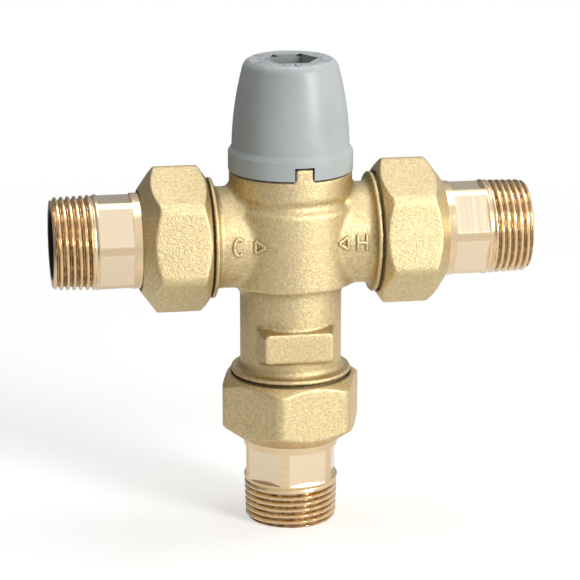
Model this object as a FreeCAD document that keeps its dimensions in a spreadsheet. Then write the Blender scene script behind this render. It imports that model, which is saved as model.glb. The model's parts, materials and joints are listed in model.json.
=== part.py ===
"""Thermostatic mixing valve with three union connections, as a parametric FreeCAD document.

All lengths are millimetres.  Pieces of the valve are drawn about the point where the axes
of the arms and of the outlet cross, and union pieces about the sealing face that they are
clamped to, with +Z pointing out of the valve.  Placements bring them into the part's own
frame: origin at the middle of the mixed outlet's end, +Z up, +X towards the hot inlet.
"""
import FreeCAD, Part
import math
import os
import Sketcher
from FreeCAD import Placement, Rotation, Vector

SIZES = (
    # outside of the forged body
    ("arm_face", 35.5),             # axis to the sealing face of an inlet arm
    ("outlet_face", 51.6),          # arm axis down to the sealing face of the outlet
    ("body_thread_radius", 16.5),
    ("arm_step", 2.2),              # from the outside of the thread down to an arm
    ("neck_step", 0.05),            # outlet neck, beyond an arm
    ("drum_step", 4.1),             # the drum round the shuttle, beyond an arm
    ("drum_drop", 1.5),             # its bottom, short of an arm's lower side
    ("drum_rise", 4.9),             # its top, short of an arm's upper side
    ("valley_step", 1.8),
    ("valley_rise", 3.2),
    ("collar_step", 2.95),          # the collar under the cap
    ("collar_rise", 1.1),
    ("body_top", 19.0),
    ("drum_edge", 1.5),
    ("junction_fillet", 2.8),
    ("collar_fillet", 2.0),
    ("flare_fillet", 1.6),
    ("shoulder_step", 0.5),         # ring behind each union nut, beyond the thread
    ("shoulder_width", 1.3),
    ("body_thread_chamfer", 1.0),
    ("engagement", 11.5),           # length of body thread inside a nut
    ("relief_depth", 0.9),
    ("relief_gap", 0.6),            # run-out groove, to each side of the nut's end
    ("lug_width", 5.0),
    ("lug_setback", 0.3),           # from the outside of the cap's rim
    ("lug_height", 3.6),
    ("lug_angle", 4.0),             # degrees round from the front
    ("plate_width", 19.2),          # raised plate on the front of the outlet neck
    ("plate_height", 8.4),
    ("plate_middle", 29.2),
    ("plate_step", 1.15),           # its face, beyond the neck
    ("plate_depth", 8.0),
    ("plate_draft", 14.0),
    ("plate_corner", 1.5),
    # inside of the body
    ("mixing_bore", 10.8),
    ("seat_level", 8.4),            # hot seat, below the arm axis
    ("seat_thick", 2.2),
    ("seat_hole", 8.4),
    ("drum_wall", 3.4),             # round the annulus
    ("land_bottom", 3.6),
    ("land_top", 2.0),
    ("land_radius", 10.05),
    ("annulus_drop", 2.4),          # its top, below the drum's
    ("nose_bore", 12.0),
    ("nose_depth", 4.0),
    ("bonnet_thread_radius", 13.0),
    ("arm_bore", 10.4),
    ("check_room", 1.5),            # behind a check valve in its bore
    ("window_half_width", 6.0),
    # unions
    ("gasket_thick", 2.0),
    ("gasket_bore", 9.8),
    ("gasket_radius", 14.9),
    ("nut_wall", 1.8),              # at the flats, outside the thread
    ("nut_corner", 3.5),
    ("nut_web", 3.1),               # inward flange that pulls on the tail
    ("nut_mouth_step", 0.9),        # chamfered mouth, beyond the thread
    ("nut_mouth_length", 2.6),
    ("nut_nose_radius", 14.2),
    ("nut_nose_rise", 5.8),
    ("nut_nose_length", 4.2),
    ("tail_length", 29.9),
    ("tail_flange_radius", 15.0),
    ("tail_flange_thick", 2.4),
    ("barrel_radius", 13.4),
    ("wrench_flats", 24.3),
    ("wrench_start", 5.3),          # from the tail's flange
    ("wrench_length", 8.3),
    ("pipe_thread_radius", 13.2),
    ("pipe_thread_length", 12.4),
    ("pipe_thread_chamfer", 0.5),
    ("tail_bore", 9.4),
    ("strainer_bore", 9.9),
    ("strainer_depth", 10.0),
    ("side_nut_roll", 8.0),         # degrees that a flat looks up from level
    ("side_tail_roll", 32.0),
    ("outlet_nut_roll", 13.0),      # degrees that a flat looks round from the front
    ("outlet_tail_roll", 14.5),
    # strainer and check valve of an inlet
    ("strainer_flange_radius", 10.8),
    ("strainer_flange_thick", 0.8),
    ("strainer_wall", 0.7),
    ("strainer_length", 9.0),
    ("strainer_slot_width", 1.7),
    ("strainer_slot_length", 5.4),
    ("strainer_slot_start", 0.7),   # from the flange
    ("strainer_end_inner", 3.2),    # slots in the basket's end
    ("strainer_end_outer", 7.0),
    ("strainer_gap", 0.5),          # between the basket and the tail's bore
    ("check_flange_radius", 11.4),
    ("check_flange_thick", 1.5),
    ("check_guide_shelf", 0.4),
    ("check_guide_rim", 1.2),
    ("check_length", 15.0),
    ("check_mouth", 6.4),
    ("check_mouth_depth", 3.4),
    ("check_chamber", 8.7),
    ("check_seal_depth", 8.0),
    ("check_seal_groove", 9.2),
    ("seal_width", 1.6),
    ("poppet_radius", 7.7),
    ("poppet_thick", 1.8),
    ("poppet_stem", 1.5),
    ("poppet_nose", 0.6),           # bevel beyond the seat's edge
    ("poppet_lift", 2.2),
    ("stem_gap", 0.3),              # left at the end of the lift
    ("check_guide_thick", 2.0),
    ("check_guide_hub", 3.2),
    ("check_spring_radius", 3.2),
    ("check_spring_wire", 0.3),     # radius of the wire
    # shuttle, wax element and return spring
    ("shuttle_bottom", 5.4),
    ("shuttle_top", 5.7),
    ("shuttle_bore", 8.3),
    ("shuttle_hub", 6.0),
    ("shuttle_web", 2.0),
    ("shuttle_seal_groove", 9.1),
    ("element_flange_radius", 5.6),
    ("element_flange_bottom", 1.5),
    ("element_flange_thick", 3.0),
    ("bulb_radius", 4.4),
    ("bulb_end", 23.0),
    ("element_nose_radius", 3.2),
    ("element_nose_top", 7.0),
    ("pin_radius", 1.4),
    ("pin_bore_depth", 8.0),
    ("pin_engaged", 6.0),
    ("return_spring_radius", 5.4),
    ("return_spring_wire", 0.5),
    ("guide_top", 25.3),
    ("guide_thick", 3.0),
    ("guide_hub", 6.6),
    ("guide_rim", 1.0),
    ("guide_bulb_gap", 0.5),
    ("clip_thick", 1.2),
    ("clip_bite", 0.8),             # how far a retaining ring reaches into its groove
    ("clip_width", 1.8),
    # bonnet, spindle and setting screw
    ("bonnet_nose_groove", 10.6),
    ("bonnet_nose_shelf", 1.1),     # from the cold seat to the groove
    ("bonnet_thread_gap", 0.4),     # from the nose's shoulder to the thread
    ("bonnet_flange_radius", 14.6),
    ("bonnet_flange_thick", 2.0),
    ("bonnet_flats", 22.0),
    ("bonnet_hex_height", 5.9),
    ("bonnet_neck_radius", 7.5),
    ("bonnet_neck_top", 35.0),
    ("nut_channel_flats", 15.0),
    ("channel_top", 24.0),
    ("spindle_radius", 5.0),
    ("spindle_collar_radius", 6.4),
    ("spindle_collar_thick", 1.6),
    ("spindle_screw_radius", 4.0),
    ("spindle_screw_length", 6.4),
    ("spindle_seal_depth", 4.0),
    ("spindle_seal_groove", 4.0),
    ("spindle_head_flats", 13.0),
    ("spindle_head_base", 36.2),
    ("spindle_head_top", 43.0),
    ("pointer_width", 1.4),
    ("pointer_depth", 1.0),
    ("spindle_clip_thick", 0.8),
    ("spindle_clip_radius", 6.6),
    ("spindle_clip_groove", 4.3),
    ("drive_nut_bottom", 8.6),
    ("drive_nut_top", 21.0),
    ("drive_web_bottom", 15.5),
    ("spring_pocket", 6.0),
    ("button_radius", 5.8),
    ("button_bottom", 9.8),
    ("button_thick", 1.2),
    ("overtravel_spring_radius", 5.0),
    ("overtravel_spring_wire", 0.45),
    # setting cap
    ("cap_rim_step", 0.25),         # beyond the collar
    ("cap_rim_height", 5.1),
    ("cap_shoulder_step", 1.0),     # from the rim in to the shoulder
    ("cap_shoulder_rise", 1.6),
    ("cap_crown_step", 3.1),        # from the shoulder in to the crown
    ("cap_crown_height", 48.1),
    ("cap_side_bow", 96.0),
    ("cap_top", 50.2),
    ("cap_top_step", 1.8),          # from the crown in to the flat top
    ("cap_crown_bow", 3.2),
    ("cap_wall", 2.2),
    ("cap_roof", 6.2),
    ("cap_roof_gap", 0.5),          # how much wider the hollow's end is than the side wall gives
    ("cap_gap", 0.3),
    ("socket_flats", 13.7),
    ("socket_chamfer", 0.7),
    ("notch_width", 5.5),
    ("notch_height", 3.7),
    # clearances
    ("running_gap", 0.05),          # between a shaft and its hole, radial
    ("slip_gap", 0.1),              # between pieces that are pushed together
    ("nut_gap", 0.2),               # between a nut's web and the tail's barrel
    ("seal_gap", 0.05),             # between a seal and the bore that it rubs on
)
SPOKES = 4
SPOKE_WINDOW = 33.0                 # half angle of a window between two spokes, degrees
CHECK_SPOKES = 3
STRAINER_SLOTS = 10
STRAINER_END_SLOTS = 5
WIRE_SIDES = 6
CHECK_WINDOW = 42.0                 # half angle of a window in the check valve's guide, degrees
OVERSHOOT = 1.0                     # how far a cutting outline runs past the piece
SPRING_TURNS = {"return_spring": 5, "overtravel_spring": 2, "check_spring": 3}
CLIP_OPENING = 25.0                 # half angle of a retaining ring's gap, degrees
BACK = 90.0                         # direction of a retaining ring's gap, degrees
HEX_STEP = 30.0                     # turns a hexagon from its flats to its corners, degrees
EDGE_TOLERANCE = 1e-4
LOOSE_TOLERANCE = 1e-3

doc = FreeCAD.newDocument("mixing_valve")
sheet = doc.addObject("Spreadsheet::Sheet", "dims")


class Measure:
    """A length that carries its number and the sheet expression that gives it."""

    def __init__(self, text, number):
        self.text = text
        self.number = number

    def _join(self, other, sign, number):
        return Measure("(%s %s %s)" % (self.text, sign, other.text), number)

    def __add__(self, other):
        other = as_measure(other)
        return self._join(other, "+", self.number + other.number)

    def __sub__(self, other):
        other = as_measure(other)
        return self._join(other, "-", self.number - other.number)

    def __mul__(self, other):
        other = as_measure(other)
        return self._join(other, "*", self.number * other.number)

    def __truediv__(self, other):
        other = as_measure(other)
        return self._join(other, "/", self.number / other.number)

    def __radd__(self, other):
        return as_measure(other) + self

    def __rsub__(self, other):
        return as_measure(other) - self

    def __rmul__(self, other):
        return as_measure(other) * self

    def __neg__(self):
        return as_measure(0) - self


def as_measure(value):
    if isinstance(value, Measure):
        return value
    return Measure("%.9g" % value, float(value))


class Sizes:
    """Gives each named cell of the sheet as a Measure."""

    def __init__(self, rows):
        for row, (name, number) in enumerate(rows, start=1):
            sheet.set("A%d" % row, name)
            sheet.set("B%d" % row, str(number))
            sheet.setAlias("B%d" % row, name)
        doc.recompute()

    def __getattr__(self, name):
        return Measure("dims." + name, float(sheet.get(name)))


d = Sizes(SIZES)
LIFT = d.outlet_face + d.gasket_thick + d.tail_length       # height of the arm axis
ARM_RADIUS = d.body_thread_radius - d.arm_step
NECK_RADIUS = ARM_RADIUS + d.neck_step
DRUM_RADIUS = ARM_RADIUS + d.drum_step
DRUM_TOP = ARM_RADIUS - d.drum_rise
COLLAR_RADIUS = ARM_RADIUS + d.collar_step
CAP_RIM_RADIUS = COLLAR_RADIUS + d.cap_rim_step
CAP_SHOULDER_RADIUS = CAP_RIM_RADIUS - d.cap_shoulder_step
CAP_CROWN_RADIUS = CAP_SHOULDER_RADIUS - d.cap_crown_step
LUG_INNER = CAP_RIM_RADIUS - d.cap_wall
ANNULUS_RADIUS = DRUM_RADIUS - d.drum_wall
ANNULUS_TOP = DRUM_TOP - d.annulus_drop
PLATE_FACE = NECK_RADIUS + d.plate_step
SHOULDER_RADIUS = d.body_thread_radius + d.shoulder_step
RELIEF_RADIUS = d.body_thread_radius - d.relief_depth
ARM_BORE_END = d.arm_face - d.check_length - d.check_room
NUT_FLATS = (d.body_thread_radius + d.nut_wall) * 2


# ---------------------------------------------------------------- drawing helpers

def new_body(name):
    body = doc.addObject("PartDesign::Body", name)
    body.Label = name
    return body


def origin_plane(body, role):
    return next(item for item in body.Origin.OriginFeatures if item.Role == role)


def straight_or_bowed(start, end, radius):
    """A sketch edge; a radius above zero bows it out on its right, below zero on its left."""
    a = Vector(start[0].number, start[1].number, 0)
    b = Vector(end[0].number, end[1].number, 0)
    if radius is None:
        return Part.LineSegment(a, b), 1, 2
    reach = abs(radius.number)
    chord = b - a
    height = math.sqrt(reach ** 2 - (chord.Length / 2) ** 2)
    side = Vector(-chord.y, chord.x, 0).normalize() * math.copysign(height, radius.number)
    middle = (a + b) / 2 + side
    circle = Part.Circle(middle, Vector(0, 0, 1), reach)
    first, last = (a, b) if radius.number > 0 else (b, a)
    angles = [math.atan2(p.y - middle.y, p.x - middle.x) for p in (first, last)]
    if angles[1] < angles[0]:
        angles[1] += 2 * math.pi
    arc = Part.ArcOfCircle(circle, angles[0], angles[1])
    return (arc, 1, 2) if radius.number > 0 else (arc, 2, 1)


def outline(body, role, loops, height=None, turn=None):
    """A sketch of closed loops.  A corner is (x, y), or (x, y, radius) before a bowed edge."""
    sketch = body.newObject("Sketcher::SketchObject", body.Name + "_outline")
    sketch.AttachmentSupport = [(origin_plane(body, role), "")]
    sketch.MapMode = "FlatFace"
    if turn is not None:
        sketch.setExpression("AttachmentOffset.Rotation.Angle", turn.text)
    if height is not None:
        sketch.setExpression("AttachmentOffset.Base.z", as_measure(height).text)
    for loop in loops:
        corners = [tuple(as_measure(value) for value in corner) for corner in loop]
        first = sketch.GeometryCount
        ends = []
        for index, corner in enumerate(corners):
            radius = corner[2] if len(corner) > 2 else None
            following = corners[(index + 1) % len(corners)]
            edge, start, end = straight_or_bowed(corner, following, radius)
            sketch.addGeometry(edge, False)
            ends.append((first + index, start, end, radius))
        for index, (edge, start, end, radius) in enumerate(ends):
            following = ends[(index + 1) % len(ends)]
            sketch.addConstraint(Sketcher.Constraint(
                "Coincident", edge, end, following[0], following[1]))
            for kind, value in zip(("DistanceX", "DistanceY"), corners[index]):
                number = sketch.addConstraint(Sketcher.Constraint(
                    kind, -1, 1, edge, start, value.number))
                sketch.setExpression("Constraints[%d]" % number, value.text)
            if radius is not None:
                number = sketch.addConstraint(Sketcher.Constraint(
                    "Radius", edge, abs(radius.number)))
                text = radius.text if radius.number > 0 else (-radius).text
                sketch.setExpression("Constraints[%d]" % number, text)
    return sketch


def feature(body, kind, sketch, adds):
    """Adds a feature made from a sketch, and checks that it added or removed material."""
    before = body.Shape.Volume if body.Tip else 0.0
    item = body.newObject("PartDesign::" + kind, body.Name + "_" + kind.lower())
    item.Profile = sketch
    sketch.Visibility = False
    return item, before, adds


def settle(made):
    item, before, adds = made
    doc.recompute()
    change = item.Shape.Volume - before
    if (change > 0) != adds:
        raise RuntimeError("%s changed the volume by %.3f" % (item.Name, change))
    return item


def revolve(body, sketch, axis="V_Axis", adds=True):
    made = feature(body, "Revolution" if adds else "Groove", sketch, adds)
    made[0].ReferenceAxis = (sketch, [axis])
    made[0].Angle = 360
    return settle(made)


def pad(body, sketch, length, backwards=False, draft=None):
    made = feature(body, "Pad", sketch, True)
    made[0].setExpression("Length", as_measure(length).text)
    made[0].Reversed = backwards
    if draft is not None:
        made[0].setExpression("TaperAngle", draft.text)
    return settle(made)


def pocket(body, sketch, length, backwards=False):
    made = feature(body, "Pocket", sketch, False)
    made[0].setExpression("Length", as_measure(length).text)
    made[0].Reversed = backwards
    return settle(made)


def around(body, item, sketch, count):
    """Repeats a feature evenly round the sketch's normal."""
    pattern = body.newObject("PartDesign::PolarPattern", body.Name + "_pattern")
    pattern.Originals = [item]
    pattern.Axis = (sketch, ["N_Axis"])
    pattern.Angle = 360
    pattern.Occurrences = count
    body.Tip = pattern
    doc.recompute()
    return pattern


def round_edges(body, base, radius, wanted):
    """Fillets the edges of a feature that pass a test."""
    names = ["Edge%d" % number for number, edge in enumerate(base.Shape.Edges, start=1)
             if wanted(edge)]
    if not names:
        raise RuntimeError("no edges to round on %s" % body.Name)
    item = body.newObject("PartDesign::Fillet", body.Name + "_fillet")
    item.Base = (base, names)
    item.setExpression("Radius", radius.text)
    doc.recompute()
    if item.Shape.isNull():
        raise RuntimeError("the rounding failed on %s" % body.Name)
    return item


def is_circle(edge, radius):
    return (isinstance(edge.Curve, Part.Circle)
            and abs(edge.Curve.Radius - radius.number) < EDGE_TOLERANCE)


def is_upright(edge):
    box = edge.BoundBox
    return box.ZLength > 1 and box.XLength < EDGE_TOLERANCE and box.YLength < EDGE_TOLERANCE


def hexagon(flats):
    """Corners of a hexagon with two flats facing +X and -X."""
    side = flats / (2 * math.sqrt(3))
    half = flats / 2
    return [(half, -side), (half, side), (0, 2 * side), (-half, side), (-half, -side), (0, -2 * side)]


def rectangle(x_low, x_high, y_low, y_high):
    return [(x_low, y_low), (x_high, y_low), (x_high, y_high), (x_low, y_high)]


def ring_section(inner, outer, low, high):
    return rectangle(inner, outer, low, high)


def seal_section(inner, outer, low, high):
    """A seal squeezed into its groove: a rectangle with its rubbing corners rounded off."""
    edge = (high - low) / 4
    return [(inner, low), (outer - edge, low), (outer, low + edge), (outer, high - edge),
            (outer - edge, high), (inner, high)]


def sector(inner, outer, half_angle):
    """A window between two radii, as wide as an angle to each side of +X."""
    c, s = math.cos(math.radians(half_angle)), math.sin(math.radians(half_angle))
    return [(inner * c, -inner * s), (outer * c, -outer * s, outer),
            (outer * c, outer * s), (inner * c, inner * s, -inner)]


def turned(name, corners):
    """A piece turned about its own Z axis from one closed section."""
    body = new_body(name)
    revolve(body, outline(body, "XZ_Plane", [corners]))
    return body


def cut_round(body, corners, axis="V_Axis"):
    return revolve(body, outline(body, "XZ_Plane", [corners]), axis, adds=False)


# ---------------------------------------------------------------- places

def on_valve(body):
    """Drawn about the crossing of the axes."""
    body.setExpression("Placement.Base.z", LIFT.text)


def on_union(body, branch, roll=None):
    """Drawn about a sealing face, +Z out of the valve, +X rolled round from the front."""
    angle = math.radians(roll.number) if roll is not None else 0.0
    if branch == "mixed":
        out = Vector(0, 0, -1)
        look = Vector(math.sin(angle), -math.cos(angle), 0)
        body.setExpression("Placement.Base.z", (LIFT - d.outlet_face).text)
    else:
        out = Vector(1 if branch == "hot" else -1, 0, 0)
        look = Vector(0, -math.cos(angle), math.sin(angle))
        body.setExpression("Placement.Base.x", (d.arm_face * out.x).text)
        body.setExpression("Placement.Base.z", LIFT.text)
    turn = Rotation(look, out.cross(look), out, "ZXY")
    body.Placement = Placement(body.Placement.Base, turn)


# ---------------------------------------------------------------- valve body

def branch_section(face, root, length_sign=1):
    """Corners (distance from the crossing, radius) of a branch, from its face inwards."""
    groove_out = face - d.engagement + d.relief_gap
    groove_in = face - d.engagement - d.relief_gap
    ring_in = groove_in - d.shoulder_width
    corners = [(face, 0),
               (face, d.body_thread_radius - d.body_thread_chamfer),
               (face - d.body_thread_chamfer, d.body_thread_radius),
               (groove_out, d.body_thread_radius), (groove_out, RELIEF_RADIUS),
               (groove_in, RELIEF_RADIUS), (groove_in, SHOULDER_RADIUS),
               (ring_in, SHOULDER_RADIUS), (ring_in, root)]
    return [(length_sign * along, radius) for along, radius in corners]


def is_junction(edge):
    """An edge where the arms run into the drum, the neck or the collar."""
    box = edge.BoundBox
    if isinstance(edge.Curve, Part.Circle) or box.XLength > d.arm_face.number:
        return False
    if isinstance(edge.Curve, Part.Line):
        level = max(box.YLength, box.ZLength) < EDGE_TOLERANCE
        return level and abs(box.YMin) > LOOSE_TOLERANCE
    return abs(edge.CenterOfMass.z) < d.body_top.number


def valve_body():
    body = new_body("valve_body")
    outlet = branch_section(d.outlet_face, NECK_RADIUS, -1)
    column = [(radius, along) for along, radius in outlet]
    drum_bottom = d.drum_drop - ARM_RADIUS
    column += [(NECK_RADIUS, drum_bottom), (DRUM_RADIUS, drum_bottom),
               (DRUM_RADIUS, DRUM_TOP), (ARM_RADIUS + d.valley_step, ARM_RADIUS - d.valley_rise),
               (COLLAR_RADIUS, ARM_RADIUS - d.collar_rise), (COLLAR_RADIUS, d.body_top), (0, d.body_top)]
    turning = revolve(body, outline(body, "XZ_Plane", [column]))
    round_edges(body, turning, d.drum_edge, lambda edge: is_circle(edge, DRUM_RADIUS)
                and edge.Curve.Center.z > 0)
    right = branch_section(d.arm_face, ARM_RADIUS)
    left = branch_section(d.arm_face, ARM_RADIUS, -1)
    arms = revolve(body, outline(body, "XZ_Plane", [right + left[::-1]]), "H_Axis")
    split = DRUM_TOP.number - OVERSHOOT
    arms = round_edges(body, arms, d.junction_fillet,
                       lambda edge: is_junction(edge) and edge.BoundBox.ZMin < split)
    arms = round_edges(body, arms, d.collar_fillet,
                       lambda edge: is_junction(edge) and edge.BoundBox.ZMin > split)
    flare = d.outlet_face - d.engagement - d.relief_gap - d.shoulder_width
    arms = round_edges(body, arms, d.flare_fillet, lambda edge: is_circle(edge, NECK_RADIUS)
                       and abs(edge.Curve.Center.z + flare.number) < EDGE_TOLERANCE)
    reach = d.arm_face - d.engagement - d.relief_gap - d.shoulder_width
    round_edges(body, arms, d.flare_fillet, lambda edge: is_circle(edge, ARM_RADIUS)
                and abs(abs(edge.Curve.Center.x) - reach.number) < EDGE_TOLERANCE)
    raised_plate(body)
    lug = rectangle(-d.lug_width / 2, d.lug_width / 2, -(CAP_RIM_RADIUS - d.lug_setback), -LUG_INNER)
    pad(body, outline(body, "XY_Plane", [lug], d.body_top, d.lug_angle), d.lug_height)
    waterways(body)
    on_valve(body)
    return body


def raised_plate(body):
    """The plate forged on the front of the outlet neck, wider at its root than at its face."""
    half, up = d.plate_width / 2, d.plate_height / 2
    corners = rectangle(-half, half, -d.plate_middle - up, -d.plate_middle + up)
    sketch = outline(body, "XZ_Plane", [corners], PLATE_FACE)
    plate = pad(body, sketch, d.plate_depth, backwards=True, draft=d.plate_draft)
    face = -PLATE_FACE.number
    round_edges(body, plate, d.plate_corner,
                lambda edge: abs(edge.BoundBox.YMin - face) < LOOSE_TOLERANCE
                and edge.BoundBox.YMax > face + OVERSHOOT)


def waterways(body):
    seat_under = d.seat_level + d.seat_thick
    clip_top = d.guide_top + d.guide_thick - d.slip_gap / 2
    clip_low = clip_top + d.clip_thick + d.slip_gap
    groove = d.mixing_bore + d.clip_bite + d.slip_gap
    below, above = -d.outlet_face - OVERSHOOT, d.body_top + OVERSHOOT
    nose_top = ANNULUS_TOP + d.nose_depth
    cut_round(body, [
        (0, below), (d.mixing_bore, below), (d.mixing_bore, -clip_low), (groove, -clip_low),
        (groove, -clip_top), (d.mixing_bore, -clip_top), (d.mixing_bore, -seat_under),
        (d.seat_hole, -seat_under), (d.seat_hole, -d.seat_level),
        (ANNULUS_RADIUS, -d.seat_level), (ANNULUS_RADIUS, -d.land_bottom),
        (d.land_radius, -d.land_bottom), (d.land_radius, d.land_top),
        (ANNULUS_RADIUS, d.land_top), (ANNULUS_RADIUS, ANNULUS_TOP),
        (d.nose_bore, ANNULUS_TOP), (d.nose_bore, nose_top),
        (d.bonnet_thread_radius, nose_top), (d.bonnet_thread_radius, above), (0, above)])
    recess = d.check_flange_radius + d.slip_gap
    for side in (1, -1):
        mouth = d.arm_face - d.check_flange_thick
        beyond = d.arm_face + OVERSHOOT
        cut_round(body, [(side * beyond, 0), (side * beyond, recess),
                         (side * mouth, recess), (side * mouth, d.arm_bore),
                         (side * ARM_BORE_END, d.arm_bore), (side * ARM_BORE_END, 0)],
                  "H_Axis")
    half = d.window_half_width
    hot = rectangle(-half, half, -d.seat_level, -d.land_bottom)
    cold = rectangle(-half, half, d.land_top, ANNULUS_TOP)
    length = ARM_BORE_END + OVERSHOOT
    pocket(body, outline(body, "YZ_Plane", [hot]), length, backwards=True)
    pocket(body, outline(body, "YZ_Plane", [cold]), length)


# ---------------------------------------------------------------- unions

def union_nut(branch):
    body = new_body(branch + "_union_nut")
    inner_end = -d.engagement
    web = d.gasket_thick + d.tail_flange_thick
    outer_end = web + d.nut_web
    hexagonal = pad(body, outline(body, "XY_Plane", [hexagon(NUT_FLATS)], inner_end),
                    outer_end - inner_end)
    round_edges(body, hexagonal, d.nut_corner, is_upright)
    far, mouth = NUT_FLATS, d.body_thread_radius + d.nut_mouth_step
    slope = (far - mouth) / (NUT_FLATS * (1 / math.sqrt(3)) - mouth)
    cut_round(body, [(mouth, inner_end), (far, inner_end),
                     (far, inner_end + d.nut_mouth_length * slope)])
    rise = (far - d.nut_nose_radius) / d.nut_nose_rise
    cut_round(body, [(d.nut_nose_radius, outer_end), (far, outer_end - d.nut_nose_length * rise),
                     (far, outer_end)])
    hole = d.barrel_radius + d.nut_gap
    thread = d.body_thread_radius + d.slip_gap
    below, above = inner_end - OVERSHOOT, outer_end + OVERSHOOT
    cut_round(body, [(0, below), (thread, below), (thread, web), (hole, web), (hole, above),
                     (0, above)])
    on_union(body, branch, d.outlet_nut_roll if branch == "mixed" else d.side_nut_roll)
    return body


def tailpiece(branch):
    start = d.gasket_thick
    flange = start + d.tail_flange_thick
    end = start + d.tail_length
    thread = end - d.pipe_thread_length
    chamfer = d.pipe_thread_chamfer
    recess = d.strainer_flange_radius + d.slip_gap
    recess_end = start + d.strainer_flange_thick
    step = start + d.strainer_depth
    body = turned(branch + "_tailpiece", [
        (recess, start), (d.tail_flange_radius, start), (d.tail_flange_radius, flange),
        (d.barrel_radius, flange), (d.barrel_radius, thread), (d.pipe_thread_radius, thread),
        (d.pipe_thread_radius, end - chamfer), (d.pipe_thread_radius - chamfer, end),
        (d.tail_bore + chamfer, end), (d.tail_bore, end - chamfer), (d.tail_bore, step),
        (d.strainer_bore, step), (d.strainer_bore, recess_end), (recess, recess_end)])
    far = 2 * d.barrel_radius
    ring = [rectangle(-far, far, -far, far), hexagon(d.wrench_flats)]
    seat = flange + d.wrench_start
    pocket(body, outline(body, "XY_Plane", ring, seat), d.wrench_length, backwards=True)
    on_union(body, branch, d.outlet_tail_roll if branch == "mixed" else d.side_tail_roll)
    return body


def union_gasket(branch):
    body = turned(branch + "_union_gasket",
                  ring_section(d.gasket_bore, d.gasket_radius, 0, d.gasket_thick))
    on_union(body, branch)
    return body


def strainer(branch):
    """A slotted basket whose flange is clamped in the tailpiece by the gasket."""
    start = d.gasket_thick
    rim = start + d.strainer_flange_thick
    outer = d.strainer_bore - d.strainer_gap
    inner = outer - d.strainer_wall
    end = start + d.strainer_length
    body = turned(branch + "_strainer", [
        (inner, start), (d.strainer_flange_radius, start), (d.strainer_flange_radius, rim),
        (outer, rim), (outer, end), (0, end), (0, end - d.strainer_wall),
        (inner, end - d.strainer_wall)])
    half, low = d.strainer_slot_width / 2, rim + d.strainer_slot_start
    slot = outline(body, "YZ_Plane", [rectangle(-half, half, low, low + d.strainer_slot_length)])
    first = pocket(body, slot, outer + OVERSHOOT)
    end_slot = rectangle(-half, half, d.strainer_end_inner, d.strainer_end_outer)
    through = outline(body, "XY_Plane", [end_slot], end - d.strainer_wall - OVERSHOOT)
    around(body, first, through, STRAINER_SLOTS)
    hole = pocket(body, through, d.strainer_wall + 2 * OVERSHOOT, backwards=True)
    around(body, hole, through, STRAINER_END_SLOTS)
    on_union(body, branch)
    return body


def union_parts(branch):
    return [tailpiece(branch), union_nut(branch), union_gasket(branch)]


# ---------------------------------------------------------------- check valves

def poppet_seat():
    """Depth below the sealing face at which the poppet's rim meets the housing."""
    return d.check_mouth_depth + (d.poppet_radius - d.check_mouth)


def check_housing(branch):
    outer = d.arm_bore - d.slip_gap
    seal_low = d.check_seal_depth + d.seal_width
    taper = d.check_chamber - d.check_mouth
    guide = d.check_length - d.check_guide_thick
    shelf = d.check_chamber + d.check_guide_shelf
    body = turned(branch + "_check_housing", [
        (d.check_mouth, 0), (d.check_flange_radius, 0),
        (d.check_flange_radius, -d.check_flange_thick), (outer, -d.check_flange_thick),
        (outer, -d.check_seal_depth), (d.check_seal_groove, -d.check_seal_depth),
        (d.check_seal_groove, -seal_low), (outer, -seal_low), (outer, -d.check_length),
        (shelf, -d.check_length), (shelf, -guide),
        (d.check_chamber, -guide), (d.check_chamber, -d.check_mouth_depth - taper),
        (d.check_mouth, -d.check_mouth_depth)])
    on_union(body, branch)
    return body


def check_seal(branch):
    low = -d.check_seal_depth - d.seal_width + d.seal_gap
    body = turned(branch + "_check_seal", seal_section(
        d.check_seal_groove, d.arm_bore - d.seal_gap, low, -d.check_seal_depth - d.seal_gap))
    on_union(body, branch)
    return body


def check_poppet(branch):
    """A disc with a sealing bevel, and the stem that runs in the guide."""
    rim = -poppet_seat() - d.slip_gap
    bevel = d.poppet_radius - d.check_mouth + d.poppet_nose
    back = rim - d.poppet_thick
    tip = ARM_BORE_END - d.arm_face + d.poppet_lift + d.stem_gap
    body = turned(branch + "_check_poppet", [
        (0, rim + bevel), (d.poppet_radius - bevel, rim + bevel), (d.poppet_radius, rim),
        (d.poppet_radius, back), (d.poppet_stem, back), (d.poppet_stem, tip), (0, tip)])
    on_union(body, branch)
    return body


def check_guide(branch):
    """The spoked ring in the housing's inner end that steers the poppet's stem."""
    low = -d.check_length
    high = low + d.check_guide_thick
    outer = d.check_chamber + d.check_guide_shelf - d.slip_gap / 2
    body = turned(branch + "_check_guide", ring_section(
        d.poppet_stem + d.running_gap, outer, low, high))
    opening = sector(d.check_guide_hub, outer - d.check_guide_rim, CHECK_WINDOW)
    window = outline(body, "XY_Plane", [opening], low - OVERSHOOT)
    opening = pocket(body, window, d.check_guide_thick + 2 * OVERSHOOT, backwards=True)
    around(body, opening, window, CHECK_SPOKES)
    on_union(body, branch)
    return body


def check_spring(branch):
    back = poppet_seat() + d.slip_gap + d.poppet_thick
    guide = d.check_length - d.check_guide_thick
    body = coil(branch + "_check_spring", "check_spring", d.check_spring_radius,
                d.check_spring_wire, -guide + d.slip_gap, -back - d.slip_gap)
    on_union(body, branch)
    return body


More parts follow.
